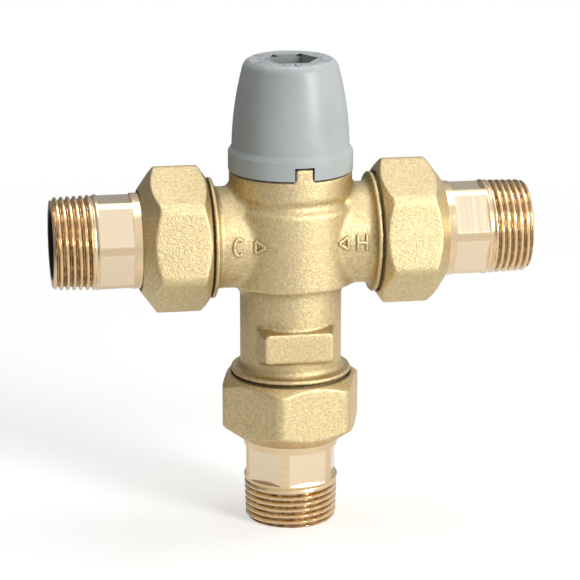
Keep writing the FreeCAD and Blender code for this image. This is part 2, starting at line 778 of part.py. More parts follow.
def coil(name, kind, radius, wire, low, high):
    """A coil spring between two heights, of wire with a few flats in place of its round."""
    body = new_body(name)
    corners = []
    for index in range(WIRE_SIDES):
        angle = 2 * math.pi * index / WIRE_SIDES
        corners.append((radius + wire * math.cos(angle), low + wire + wire * math.sin(angle)))
    section = outline(body, "XZ_Plane", [corners])
    spring = body.newObject("PartDesign::AdditiveHelix", name + "_helix")
    spring.Profile = section
    spring.ReferenceAxis = (section, ["V_Axis"])
    spring.Mode = 0
    rise = high - low - 2 * wire
    spring.setExpression("Height", rise.text)
    spring.setExpression("Pitch", (rise / SPRING_TURNS[kind]).text)
    section.Visibility = False
    doc.recompute()
    return body


def inlet_parts(branch):
    return [check_housing(branch), check_seal(branch), check_poppet(branch),
            check_guide(branch), check_spring(branch), strainer(branch)]


# ---------------------------------------------------------------- shuttle and element

def shuttle():
    """The sleeve that opens one inlet as it closes the other, on four spokes."""
    outer = d.land_radius - d.slip_gap
    groove = d.seal_width / 2
    hub = d.bulb_radius + d.slip_gap
    web_top = -d.element_flange_bottom
    body = turned("shuttle", [
        (d.shuttle_bore, -d.shuttle_bottom), (outer, -d.shuttle_bottom), (outer, -groove),
        (d.shuttle_seal_groove, -groove), (d.shuttle_seal_groove, groove), (outer, groove),
        (outer, d.shuttle_top), (d.shuttle_bore, d.shuttle_top), (d.shuttle_bore, web_top),
        (hub, web_top), (hub, web_top - d.shuttle_web), (d.shuttle_bore, web_top - d.shuttle_web)])
    opening = sector(d.shuttle_hub, d.shuttle_bore, SPOKE_WINDOW)
    window = outline(body, "XY_Plane", [opening], web_top - d.shuttle_web - OVERSHOOT)
    opening = pocket(body, window, d.shuttle_web + 2 * OVERSHOOT, backwards=True)
    around(body, opening, window, SPOKES)
    on_valve(body)
    return body


def shuttle_seal():
    half = d.seal_width / 2 - d.seal_gap
    body = turned("shuttle_seal", seal_section(
        d.shuttle_seal_groove, d.land_radius - d.seal_gap, -half, half))
    on_valve(body)
    return body


def wax_element():
    """Sensing bulb, seating flange and the nose that guides the pin."""
    low = -d.element_flange_bottom
    high = low + d.element_flange_thick
    bore = d.pin_radius + d.running_gap
    floor = d.element_nose_top - d.pin_bore_depth
    tip = d.bulb_radius / 3
    body = turned("wax_element", [
        (0, -d.bulb_end), (d.bulb_radius - tip, -d.bulb_end), (d.bulb_radius, -d.bulb_end + tip),
        (d.bulb_radius, low), (d.element_flange_radius, low), (d.element_flange_radius, high),
        (d.element_nose_radius, high), (d.element_nose_radius, d.element_nose_top),
        (bore, d.element_nose_top), (bore, floor), (0, floor)])
    on_valve(body)
    return body


def element_pin():
    body = turned("element_pin", ring_section(
        0, d.pin_radius, d.element_nose_top - d.pin_engaged, d.button_bottom))
    on_valve(body)
    return body


def return_spring():
    low = -d.guide_top + d.slip_gap
    high = -d.element_flange_bottom - d.shuttle_web - d.slip_gap
    body = coil("return_spring", "return_spring", d.return_spring_radius,
                d.return_spring_wire, low, high)
    on_valve(body)
    return body


def flow_guide():
    """The spoked seat for the return spring, held in the outlet by a ring."""
    low = -d.guide_top - d.guide_thick
    outer = d.mixing_bore - d.slip_gap
    inner = d.bulb_radius + d.guide_bulb_gap
    body = turned("flow_guide", ring_section(inner, outer, low, -d.guide_top))
    opening = sector(d.guide_hub, outer - d.guide_rim, SPOKE_WINDOW)
    window = outline(body, "XY_Plane", [opening], low - OVERSHOOT)
    opening = pocket(body, window, d.guide_thick + 2 * OVERSHOOT, backwards=True)
    around(body, opening, window, SPOKES)
    on_valve(body)
    return body


def open_ring(name, inner, outer, low, thick):
    """A retaining ring with a gap at the back."""
    body = turned(name, ring_section(inner, outer, low, low + thick))
    far = 2 * outer
    gap = sector(inner / 2, far, CLIP_OPENING)
    cut = outline(body, "XY_Plane", [gap], low - OVERSHOOT, as_measure(BACK))
    pocket(body, cut, thick + 2 * OVERSHOOT, backwards=True)
    on_valve(body)
    return body


def guide_clip():
    outer = d.mixing_bore + d.clip_bite
    return open_ring("guide_clip", outer - d.clip_width, outer,
                     -d.guide_top - d.guide_thick - d.clip_thick, d.clip_thick)


# ---------------------------------------------------------------- bonnet and setting screw

def bonnet():
    """Screwed into the body; its nose is the cold seat and its bore steers the drive nut."""
    seat = ANNULUS_TOP + d.slip_gap
    nose = d.nose_bore - d.slip_gap
    thread = d.bonnet_thread_radius - d.slip_gap
    nose_top = ANNULUS_TOP + d.nose_depth + d.bonnet_thread_gap
    groove_low = seat + d.bonnet_nose_shelf
    groove_high = groove_low + d.seal_width
    flange_top = d.body_top + d.bonnet_flange_thick
    bore = d.spindle_radius + d.running_gap
    hex_top = flange_top + d.bonnet_hex_height
    body = turned("bonnet", [
        (bore, seat), (nose, seat), (nose, groove_low), (d.bonnet_nose_groove, groove_low),
        (d.bonnet_nose_groove, groove_high), (nose, groove_high), (nose, nose_top),
        (thread, nose_top), (thread, d.body_top), (d.bonnet_flange_radius, d.body_top),
        (d.bonnet_flange_radius, flange_top), (d.bonnet_neck_radius, flange_top),
        (d.bonnet_neck_radius, d.bonnet_neck_top), (bore, d.bonnet_neck_top)])
    ring = [hexagon(d.bonnet_flats), hexagon(d.bonnet_neck_radius + d.bonnet_neck_radius / 2)]
    pad(body, outline(body, "XY_Plane", ring, flange_top), hex_top - flange_top)
    channel = outline(body, "XY_Plane", [hexagon(d.nut_channel_flats)], seat - OVERSHOOT)
    pocket(body, channel, d.channel_top - seat + OVERSHOOT, backwards=True)
    on_valve(body)
    return body


def bonnet_seal():
    low = ANNULUS_TOP + d.slip_gap + d.bonnet_nose_shelf + d.seal_gap
    high = low + d.seal_width - 2 * d.seal_gap
    body = turned("bonnet_seal", seal_section(
        d.bonnet_nose_groove, d.nose_bore - d.seal_gap, low, high))
    on_valve(body)
    return body


def seal_on_spindle():
    """Low and high ends of the groove for the spindle's seal."""
    high = d.bonnet_neck_top - d.spindle_seal_depth
    return high - d.seal_width, high


def spindle():
    """Turns in the bonnet without rising; its screw moves the drive nut."""
    collar_top = d.channel_top - d.running_gap
    collar_low = collar_top - d.spindle_collar_thick
    screw_end = collar_low - d.spindle_screw_length
    seal_low, seal_high = seal_on_spindle()
    clip_low = d.bonnet_neck_top + d.slip_gap - d.running_gap
    clip_high = clip_low + d.spindle_clip_thick + 2 * d.running_gap
    body = turned("spindle", [
        (0, screw_end), (d.spindle_screw_radius, screw_end),
        (d.spindle_screw_radius, collar_low), (d.spindle_collar_radius, collar_low),
        (d.spindle_collar_radius, collar_top), (d.spindle_radius, collar_top),
        (d.spindle_radius, seal_low), (d.spindle_seal_groove, seal_low),
        (d.spindle_seal_groove, seal_high), (d.spindle_radius, seal_high),
        (d.spindle_radius, clip_low), (d.spindle_clip_groove, clip_low),
        (d.spindle_clip_groove, clip_high), (d.spindle_radius, clip_high),
        (d.spindle_radius, d.spindle_head_base), (0, d.spindle_head_base)])
    head = outline(body, "XY_Plane", [hexagon(d.spindle_head_flats)], d.spindle_head_base)
    pad(body, head, d.spindle_head_top - d.spindle_head_base)
    half = d.pointer_width / 2
    pointer = rectangle(-half, half, -d.spindle_head_flats, 0)
    pocket(body, outline(body, "XY_Plane", [pointer], d.spindle_head_top), d.pointer_depth)
    on_valve(body)
    return body


def spindle_seal():
    low, high = seal_on_spindle()
    rubbing = d.spindle_radius + d.running_gap / 2
    body = turned("spindle_seal", seal_section(
        d.spindle_seal_groove, rubbing, low + d.seal_gap, high - d.seal_gap))
    on_valve(body)
    return body


def spindle_clip():
    low = d.bonnet_neck_top + d.slip_gap
    return open_ring("spindle_clip", d.spindle_clip_groove + d.running_gap, d.spindle_clip_radius,
                     low, d.spindle_clip_thick)


def drive_nut():
    """A hexagonal nut that the bonnet stops from turning; its cup holds the overtravel spring."""
    body = new_body("drive_nut")
    flats = d.nut_channel_flats - 2 * d.slip_gap
    pad(body, outline(body, "XY_Plane", [hexagon(flats)], d.drive_nut_bottom),
        d.drive_nut_top - d.drive_nut_bottom)
    screw = d.spindle_screw_radius + d.running_gap
    low, high = d.drive_nut_bottom - OVERSHOOT, d.drive_nut_top + OVERSHOOT
    clip_high = d.button_bottom - d.slip_gap
    clip_low = clip_high - d.spindle_clip_thick - d.running_gap
    groove = d.spring_pocket + d.clip_bite / 2 + d.running_gap
    cut_round(body, [
        (0, low), (d.spring_pocket, low), (d.spring_pocket, clip_low), (groove, clip_low),
        (groove, clip_high), (d.spring_pocket, clip_high), (d.spring_pocket, d.drive_web_bottom),
        (screw, d.drive_web_bottom), (screw, high), (0, high)])
    on_valve(body)
    return body


def thrust_button():
    """Pushed against its ring by the overtravel spring; the element's pin bears on it."""
    body = turned("thrust_button", ring_section(
        0, d.button_radius, d.button_bottom, d.button_bottom + d.button_thick))
    on_valve(body)
    return body


def button_clip():
    outer = d.spring_pocket + d.clip_bite / 2
    low = d.button_bottom - d.slip_gap - d.spindle_clip_thick
    return open_ring("button_clip", outer - d.clip_width, outer, low, d.spindle_clip_thick)


def overtravel_spring():
    low = d.button_bottom + d.button_thick + d.slip_gap
    body = coil("overtravel_spring", "overtravel_spring", d.overtravel_spring_radius,
                d.overtravel_spring_wire, low, d.drive_web_bottom - d.slip_gap)
    on_valve(body)
    return body


# ---------------------------------------------------------------- setting cap

def setting_cap():
    """Moulded cap: bowed sides, a rim notched for the body's lug and a hexagon socket on top."""
    rim_low = d.body_top + d.cap_gap
    rim_high = rim_low + d.cap_rim_height
    shoulder = rim_high + d.cap_shoulder_rise
    roof = d.cap_top - d.cap_roof
    wall = d.cap_wall
    body = turned("setting_cap", [
        (CAP_RIM_RADIUS - wall, rim_low), (CAP_RIM_RADIUS, rim_low),
        (CAP_RIM_RADIUS, rim_high), (CAP_SHOULDER_RADIUS, shoulder, d.cap_side_bow),
        (CAP_CROWN_RADIUS, d.cap_crown_height, d.cap_crown_bow),
        ((CAP_CROWN_RADIUS - d.cap_top_step), d.cap_top), (0, d.cap_top), (0, roof),
        (CAP_CROWN_RADIUS - wall + d.cap_roof_gap, roof, -(d.cap_side_bow - wall)),
        (CAP_SHOULDER_RADIUS - wall, shoulder)])
    socket = outline(body, "XY_Plane", [hexagon(d.socket_flats)], roof - OVERSHOOT,
                     as_measure(HEX_STEP))
    pocket(body, socket, d.cap_roof + 2 * OVERSHOOT, backwards=True)
    lip = d.socket_flats / math.sqrt(3)
    chamfer_low, above = d.cap_top - d.socket_chamfer, d.cap_top + OVERSHOOT
    cut_round(body, [(0, chamfer_low), (lip - d.socket_chamfer, chamfer_low), (lip, d.cap_top),
                     (lip, above), (0, above)])
    half = d.notch_width / 2
    notch = rectangle(-half, half, -2 * CAP_RIM_RADIUS, OVERSHOOT - LUG_INNER)
    cut = outline(body, "XY_Plane", [notch], rim_low - OVERSHOOT, d.lug_angle)
    pocket(body, cut, d.notch_height + OVERSHOOT, backwards=True)
    on_valve(body)
    return body


# ---------------------------------------------------------------- the whole valve

def build():
    parts = [valve_body(), bonnet(), bonnet_seal(), spindle(), spindle_seal(), spindle_clip(),
             drive_nut(), thrust_button(), button_clip(), overtravel_spring(), element_pin(),
             wax_element(), shuttle(), shuttle_seal(), return_spring(), flow_guide(),
             guide_clip(), setting_cap()]
    for branch in ("hot", "cold"):
        parts += inlet_parts(branch)
    for branch in ("hot", "cold", "mixed"):
        parts += union_parts(branch)
    doc.recompute()
    return parts


def check(parts):
    for item in doc.Objects:
        if "Invalid" in item.State or "Error" in item.State:
            raise RuntimeError("%s is %s" % (item.Name, item.State))
    for part in parts:
        if part.Shape.isNull() or not part.Shape.isValid() or len(part.Shape.Solids) != 1:
            raise RuntimeError("%s is not one valid solid" % part.Label)


def write(parts):
    os.makedirs("parts", exist_ok=True)
    for part in parts:
        part.Shape.exportStep("parts/%s.step" % part.Label)


valve = build()
check(valve)
write(valve)
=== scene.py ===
import json
import math

import bmesh
import bpy
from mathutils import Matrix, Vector
from mathutils.bvhtree import BVHTree


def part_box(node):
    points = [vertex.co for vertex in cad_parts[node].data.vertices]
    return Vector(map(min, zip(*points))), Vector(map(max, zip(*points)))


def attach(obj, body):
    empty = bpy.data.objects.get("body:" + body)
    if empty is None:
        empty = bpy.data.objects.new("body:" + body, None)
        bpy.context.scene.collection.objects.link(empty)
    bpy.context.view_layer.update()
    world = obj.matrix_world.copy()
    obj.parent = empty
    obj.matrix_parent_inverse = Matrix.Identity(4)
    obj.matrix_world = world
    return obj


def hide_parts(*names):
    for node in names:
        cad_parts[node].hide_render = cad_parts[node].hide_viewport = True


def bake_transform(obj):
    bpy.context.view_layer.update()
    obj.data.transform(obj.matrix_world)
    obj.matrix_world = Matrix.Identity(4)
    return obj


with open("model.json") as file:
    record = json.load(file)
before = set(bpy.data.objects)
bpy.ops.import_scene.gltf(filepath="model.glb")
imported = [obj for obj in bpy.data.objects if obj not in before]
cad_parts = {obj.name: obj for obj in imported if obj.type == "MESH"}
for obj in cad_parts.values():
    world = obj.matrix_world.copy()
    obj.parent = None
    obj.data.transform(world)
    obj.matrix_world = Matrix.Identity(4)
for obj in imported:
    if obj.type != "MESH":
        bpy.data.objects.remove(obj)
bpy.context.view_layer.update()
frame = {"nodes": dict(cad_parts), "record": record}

bl_info = {
    "name": "Mixing valve finish",
    "version": (1, 0, 0),
    "blender": (4, 5, 0),
    "location": "View3D > Sidebar > Valve",
    "description": "Forged, turned and moulded finish of a thermostatic mixing valve",
    "category": "Object",
}

NODES = frame["nodes"]
BRANCHES = ("hot", "cold", "mixed")
TAIL_LOW, TAIL_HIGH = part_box("hot_tailpiece")
CAP_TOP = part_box("setting_cap")[1].z
AXIS_HEIGHT = (TAIL_LOW.z + TAIL_HIGH.z) / 2
TAIL_FACE = TAIL_LOW.x  # from the crossing of the axes to a side tail
TAIL_LENGTH = TAIL_HIGH.x - TAIL_LOW.x
FLANGE_RADIUS = (TAIL_HIGH.z - TAIL_LOW.z) / 2
BACKWARDS = Vector((0, 1, 0))  # away from whoever faces the valve
MM = 0.001
AHEAD = 50 * MM  # rays at the body's front start this far ahead
THREAD_TAPER = 1 / 32  # of the radius, along the thread
THREAD_CREST, THREAD_FLANK = 0.26, 0.66  # shares of half a pitch
THREAD_RUN_OUT = 1.3  # pitches over which the thread begins
NOSE_SLOPE = 0.9  # of the radius, along the thread's chamfer
THREAD_ROWS, TAIL_SIDES = 136, 216
FLAT_TURN = {"hot": 32.0, "cold": 32.0, "mixed": 14.5}  # degrees from the front to a flat
BEAD = ((-1.0, -0.1), (-0.9, 0.72), (-0.6, 0.96), (0.0, 1.0), (0.6, 0.96), (0.9, 0.72),
        (1.0, -0.1), (0.8, -1.0), (-0.8, -1.0))  # a raised stroke's section: across, height
BARELY = 0.005 * MM  # keeps two faces out of one plane
LAMPS = (("key", (0.61, -0.73, 0.44), 0.32, 0.7), ("fill", (-0.8, -0.55, 0.35), 0.4, 0.6),
         ("top", (0.05, 0.1, 0.85), 0.7, 0.5))  # name, place, width, height
FLOOR_HALF = 0.6
FLOOR_FADE = (0.12, 0.42)  # distances between which the floor fades out
FLOOR_GLOW = (0.24, 0.48)  # as the valve sees it, as the camera sees it
BRIGHT_SIDE = Vector((0.70, -0.45, 0.55))  # of the surround that the metal mirrors
SURROUND = (-0.9, 0.85, 0.03, 0.98)  # cosines from the bright side, and strengths there
SOFT_EDGE = 0.01 * MM  # of the mask over the wrench flats


# ------------------------------ settings

def length(name, about, millimetres):
    return bpy.props.FloatProperty(name=name, description=about, default=millimetres * MM,
                                   unit="LENGTH", subtype="DISTANCE", precision=6)


def colour(name, about, value):
    return bpy.props.FloatVectorProperty(name=name, description=about, default=value, size=3,
                                         subtype="COLOR", min=0.0, max=1.0)


def angle(name, about, degrees):
    return bpy.props.FloatProperty(name=name, description=about, unit="ROTATION",
                                   default=math.radians(degrees), subtype="ANGLE")


def number(name, about, value):
    return bpy.props.FloatProperty(name=name, description=about, default=value, precision=4)


class ValveSizes(bpy.types.PropertyGroup):
    body_grid: length("Body grid", "Face size of the forged body's surface", 0.45)
    nut_grid: length("Nut grid", "Face size of a union nut's surface", 0.36)
    barrel_radius: length("Barrel radius", "Plain round part of a tail", 13.4)
    bore_radius: length("Bore radius", "Waterway of a tail", 9.4)
    strainer_bore: length("Strainer bore", "Wider bore behind the flange", 9.9)
    strainer_depth: length("Strainer depth", "Length of the wider bore", 10.0)
    seat_radius: length("Strainer seat", "Recess for the strainer's rim", 10.9)
    seat_depth: length("Seat depth", "Depth of the recess", 0.8)
    flange_thick: length("Flange thickness", "Flange that the nut pulls on", 2.4)
    flats: length("Wrench flats", "Size across the flats of a tail", 24.3)
    flats_start: length("Flats start", "From the flange's face", 7.7)
    flats_length: length("Flats length", "Along the tail", 9.5)
    thread_radius: length("Thread radius", "Crest of the thread at its inner end", 13.3)
    thread_length: length("Thread length", "Along the tail", 12.4)
    thread_pitch: length("Thread pitch", "From crest to crest", 1.814)
    thread_depth: length("Thread depth", "From crest to root", 1.12)
    thread_chamfer: length("Thread chamfer", "Along the tail, at its end", 0.9)
    chamfer_drop: length("Chamfer drop", "From the crest to the chamfer's end", 1.2)
    end_drop: length("End drop", "From the crest to the end face", 1.35)
    wrench_edge: length("Flat's edge", "Step where a flat starts and ends", 0.02)
    turned_edge: length("Turned edge", "Chamfer round the flange", 0.25)
    mouth_edge: length("Mouth edge", "Chamfer of the waterway's mouth", 0.4)
    letter_height: length("Letter height", "Height of the raised letters", 5.5)
    letter_half_width: length("Letter half width", "From the middle of a stroke", 1.3)
    letter_lift: length("Letter lift", "Letters above the arms' axis", 0.5)
    cold_letter_place: length("Cold letter", "Place along the arms", -16.7)
    hot_letter_place: length("Hot letter", "Place along the arms", 17.9)
    cold_arrow_place: length("Cold arrow", "Place of its back along the arms", -12.1)
    hot_arrow_place: length("Hot arrow", "Place of its back along the arms", 13.9)
    arrow_half_height: length("Arrow half height", "At its back", 1.75)
    arrow_length: length("Arrow length", "From its back to its tip", 2.7)
    letter_raise: length("Letter relief", "How far the letters stand out", 0.45)
    stroke: length("Stroke width", "Width of a raised stroke", 0.95)
    print_thick: length("Print thickness", "Ink on the cap's top", 0.03)
    figure_height: length("Figure height", "Figures round the socket", 2.2)
    figure_ring: length("Figure ring", "Radius at the figures' middle", 10.2)
    tick_ring: length("Tick ring", "Radius at the ticks' middle", 8.6)
    tick_half_width: length("Tick half width", "Half the width of a tick", 0.21)
    long_tick: length("Long tick", "Half the length of a tick at a figure", 0.45)
    short_tick: length("Short tick", "Half the length of the others", 0.32)
    return_wire: length("Return spring wire", "Radius of the wire", 0.5)
    overtravel_wire: length("Overtravel spring wire", "Radius of the wire", 0.45)
    check_wire: length("Check spring wire", "Radius of the wire", 0.3)
    return_turns: number("Return spring turns", "Turns of its coil", 6.5)
    overtravel_turns: number("Overtravel spring turns", "Turns of its coil", 3.0)
    check_turns: number("Check spring turns", "Turns of its coil", 5.0)
    socket_flats: length("Socket flats", "Across the flats of the cap's socket", 13.7)
    socket_lip: length("Lip depth", "How far the socket's lip reaches down", 0.72)
    socket_grip: length("Lip grip", "How far the lip reaches into the cap", 0.3)


class ValveColours(bpy.types.PropertyGroup):
    forged: colour("Forged brass", "Blasted forging", (0.75, 0.60, 0.335))
    # painted shade: the brass is darkened to this tone where occlusion finds creases, recesses
    # and gaps between parts
    forged_shade: colour("Forging recesses", "Tone in the recesses", (0.21, 0.155, 0.07))
    turned: colour("Turned brass", "Bright machined tails", (0.93, 0.715, 0.45))
    settled: colour("Dust on brass", "On what faces up", (0.72, 0.66, 0.55))
    # painted shade: the bore is painted near-black, as the shade inside the tail makes it look
    bore: colour("Bore", "Dark inside of a tail", (0.035, 0.025, 0.015))
    # partly painted sheen: the wrench flats are painted paler than the turned brass, for the
    # brighter light they catch; partly a fresh milled face
    milled_tone_and_sheen: colour("Milled flats", "Freshly cut wrench flats", (0.955, 0.79, 0.565))
    # painted shade in the thread roots, from occlusion, with the darkening of cutting oil
    turned_shade_and_oil: colour("Thread roots", "Tone at the thread's bottom", (0.22, 0.12, 0.05))
    cap: colour("Cap", "Blue-grey moulding", (0.535, 0.58, 0.575))
    cap_rubbed: colour("Cap edges", "Where the cap is rubbed", (0.5, 0.55, 0.55))
    # painted top light: the cap's upward faces are made this much paler, in specks, for the
    # light from above, with a trace of dust
    cap_top_light_and_dust: colour("Dust on the cap", "On what faces up", (0.75, 0.79, 0.8))
    ink: colour("Ink", "Print on the cap", (0.06, 0.18, 0.47))
    steel: colour("Steel", "Springs, rings and strainers", (0.56, 0.56, 0.57))
    # painted shade in the recesses, with some stain
    steel_shade_and_stain: colour("Steel recesses", "Tone in the recesses", (0.16, 0.15, 0.14))
    moulding: colour("Inner moulding", "Shuttle and check valves", (0.74, 0.74, 0.70))
    rubber: colour("Rubber", "Seals and gaskets", (0.022, 0.022, 0.024))
    floor: colour("Floor", "Pale plain floor", (0.86, 0.86, 0.86))


class StageSettings(bpy.types.PropertyGroup):
    azimuth: angle("Azimuth", "Camera turned from the front", -9.235)
    elevation: angle("Elevation", "Camera above level", 15.953)
    distance: length("Distance", "From the camera to the point it looks at", 785.3)
    aim_side: length("Aim sideways", "Point the camera looks at", -0.144)
    aim_height: length("Aim height", "Point the camera looks at", 67.17)
    lens: number("Lens", "Focal length in millimetres", 172.27)
    key_power: number("Key lamp", "Watts", 7.0)
    fill_power: number("Fill lamp", "Watts", 0.1)
    top_power: number("Top lamp", "Watts", 2.2)
    room_light: number("Room light", "Strength of the light from all sides", 0.185)


def sizes():
    return bpy.context.scene.valve_sizes


def colours():
    return bpy.context.scene.valve_colours


# ------------------------------ shader helpers

def add(tree, kind, values=None, **settings):
    """A shader node with its settings and its unlinked input values."""
    item = tree.nodes.new("ShaderNode" + kind)
    for key, value in settings.items():
        setattr(item, key, value)
    for key, value in (values or {}).items():
        item.inputs[key].default_value = value
    return item


def math_node(tree, operation, first, second=None, clamp=False):
    item = add(tree, "Math", operation=operation, use_clamp=clamp)
    for socket, value in zip(item.inputs, (first, second)):
        if value is None:
            continue
        if isinstance(value, (int, float)):
            socket.default_value = value
        else:
            tree.links.new(value, socket)
    return item.outputs[0]


def share_of(tree, value, factor):
    return math_node(tree, "MULTIPLY", value, factor)


def toned(tone, factor):
    """A colour made lighter or darker, never over full."""
    return [min(1.0, part * factor) for part in tone]


def span(tree, value, low, high, to_low=0.0, to_high=1.0):
    item = add(tree, "MapRange", {"From Min": low, "From Max": high, "To Min": to_low,
                                  "To Max": to_high})
    tree.links.new(value, item.inputs["Value"])
    return item.outputs["Result"]


def blend_colour(tree, factor, first, second):
    """Mixes two colours, each a plain colour or a socket."""
    item = add(tree, "Mix", data_type="RGBA")
    tree.links.new(factor, item.inputs["Factor"])
    for socket, value in ((item.inputs[6], first), (item.inputs[7], second)):
        if hasattr(value, "is_output"):
            tree.links.new(value, socket)
        else:
            socket.default_value = (*value, 1.0)
    return item.outputs[2]


def mix_shaders(tree, factor, first, second):
    item = add(tree, "MixShader")
    for socket, value in zip(item.inputs, (factor, first, second)):
        tree.links.new(value, socket)
    return item.outputs[0]


PLAIN, VECTOR = "NodeSocketFloat", "NodeSocketVector"


def new_group(name, takes, gives):
    """An empty shader node group with named float or vector inputs and float outputs."""
    group = bpy.data.node_groups.new(name, "ShaderNodeTree")
    for label, kind, value in takes:
        socket = group.interface.new_socket(label, in_out="INPUT", socket_type=kind)
        if kind == PLAIN:
            socket.default_value = value
    for label in gives:
        group.interface.new_socket(label, in_out="OUTPUT", socket_type=PLAIN)
    return group, group.nodes.new("NodeGroupInput"), group.nodes.new("NodeGroupOutput")


def place(tree, group, values=None, links=None):
    item = tree.nodes.new("ShaderNodeGroup")
    item.node_tree = group
    for key, value in (values or {}).items():
        item.inputs[key].default_value = value
    for key, socket in (links or {}).items():
        tree.links.new(socket, item.inputs[key])
    return item


def grain_group():
    """Fine grain over a slower unevenness, as blasting, moulding or drawing leaves it."""
    group, takes, gives = new_group(
        "surface_grain",
        [("Vector", VECTOR, None), ("Grain", PLAIN, 2500.0),
         ("Unevenness", PLAIN, 180.0), ("Fine Share", PLAIN, 0.6)],
        ["Height", "Tone"])
    fine = add(group, "TexNoise", {"Detail": 3.0, "Roughness": 0.6})
    slow = add(group, "TexNoise", {"Detail": 2.0, "Roughness": 0.5})
    for noise, label in ((fine, "Grain"), (slow, "Unevenness")):
        group.links.new(takes.outputs["Vector"], noise.inputs["Vector"])
        group.links.new(takes.outputs[label], noise.inputs["Scale"])
    part = share_of(group, fine.outputs[0], takes.outputs["Fine Share"])
    rest = math_node(group, "SUBTRACT", 1.0, takes.outputs["Fine Share"])
    height = math_node(group, "ADD", part, share_of(group, slow.outputs[0], rest))
    group.links.new(height, gives.inputs["Height"])
    tone = math_node(group, "ADD", share_of(group, fine.outputs[0], 0.4),
                     share_of(group, slow.outputs[0], 0.6))
    group.links.new(span(group, tone, 0.35, 0.65), gives.inputs["Tone"])
    return group


def wear_group():
    """Edges rubbed bright, broken up by noise, and painted shade: occlusion by the piece itself
    and by other parts darkens recesses and gaps, in blotches; it also stands for dirt kept
    there.
    """
    group, takes, gives = new_group(
        "worn_edges",
        [("Vector", VECTOR, None), ("Edge Start", PLAIN, 0.52),
         ("Edge Full", PLAIN, 0.6), ("Reach", PLAIN, 0.002)],
        ["Edges", "Recesses"])
    shape = add(group, "NewGeometry")
    edge = add(group, "MapRange")
    group.links.new(shape.outputs["Pointiness"], edge.inputs["Value"])
    group.links.new(takes.outputs["Edge Start"], edge.inputs["From Min"])
    group.links.new(takes.outputs["Edge Full"], edge.inputs["From Max"])
    breaks = add(group, "TexNoise", {"Scale": 700.0, "Detail": 3.0})
    group.links.new(takes.outputs["Vector"], breaks.inputs["Vector"])
    broken = math_node(group, "MULTIPLY", edge.outputs["Result"],
                       span(group, breaks.outputs[0], 0.3, 0.6), clamp=True)
    group.links.new(broken, gives.inputs["Edges"])
    # painted shade: ambient occlusion, other parts included, gives the mask that darkens
    # creases, recesses and gaps between parts
    hollow = add(group, "AmbientOcclusion", samples=8, only_local=False)
    group.links.new(takes.outputs["Reach"], hollow.inputs["Distance"])
    shade = span(group, hollow.outputs["AO"], 0.35, 0.95, 1.0, 0.0)
    # blotches that break up the painted shade
    shade_blotches = span(group, breaks.outputs[0], 0.25, 0.7, 0.6, 1.0)
    group.links.new(math_node(group, "MULTIPLY", shade, shade_blotches, clamp=True),
                    gives.inputs["Recesses"])
    return group


def dust_group():
    """What faces up made paler, in specks: a trace of dust, and where the amount is high, a
    painted light from above.
    """
    group, takes, gives = new_group(
        "settled_dust",
        [("Vector", VECTOR, None), ("Amount", PLAIN, 0.2)], ["Dust"])
    shape = add(group, "NewGeometry")
    split = add(group, "SeparateXYZ")
    group.links.new(shape.outputs["Normal"], split.inputs[0])
    upward = span(group, split.outputs["Z"], 0.4, 1.0)
    specks = add(group, "TexNoise", {"Scale": 420.0, "Detail": 5.0, "Roughness": 0.7})
    group.links.new(takes.outputs["Vector"], specks.inputs["Vector"])
    lying = math_node(group, "MULTIPLY", upward, span(group, specks.outputs[0], 0.42, 0.7))
    group.links.new(math_node(group, "MULTIPLY", lying, takes.outputs["Amount"], clamp=True),
                    gives.inputs["Dust"])
    return group


def tool_group():
    """Fine rings left by turning, across the coordinate that is given."""
    group, takes, gives = new_group(
        "tool_marks",
        [("Along", PLAIN, 0.0), ("Feed", PLAIN, 9000.0)],
        ["Height", "Tone"])
    scaled = math_node(group, "MULTIPLY", takes.outputs["Along"], takes.outputs["Feed"])
    rings = add(group, "TexNoise", {"Scale": 1.0, "Detail": 4.0, "Roughness": 0.75},
                noise_dimensions="1D")
    group.links.new(scaled, rings.inputs["W"])
    wide = add(group, "TexNoise", {"Scale": 0.12, "Detail": 2.0}, noise_dimensions="1D")
    group.links.new(scaled, wide.inputs["W"])
    group.links.new(rings.outputs[0], gives.inputs["Height"])
    group.links.new(span(group, wide.outputs[0], 0.3, 0.7), gives.inputs["Tone"])
    return group


GROUPS = {}


def group_named(name):
    makers = {"grain": grain_group, "wear_and_shade": wear_group, "dust_and_top_light": dust_group, "tool": tool_group}
    if name not in GROUPS:
        GROUPS[name] = makers[name]()
    return GROUPS[name]


def effect(tree, name, where, values=None):
    """One of the shared effects, placed over the piece's own coordinates."""
    return place(tree, group_named(name), values, {"Vector": where})


def new_material(name):
    """A material with a Principled shader; gives its tree, shader and object coordinates."""
    material = bpy.data.materials.new(name)
    material.use_nodes = True
    tree = material.node_tree
    shader = next(item for item in tree.nodes if item.type == "BSDF_PRINCIPLED")
    where = add(tree, "TexCoord").outputs["Object"]
    return material, tree, shader, where


def bump(tree, shader, height, depth, distance):
    """Drives the shader's normal from a height."""
    item = add(tree, "Bump", {"Strength": depth, "Distance": distance})
    tree.links.new(height, item.inputs["Height"])
    tree.links.new(item.outputs["Normal"], shader.inputs["Normal"])


MATERIALS = {}


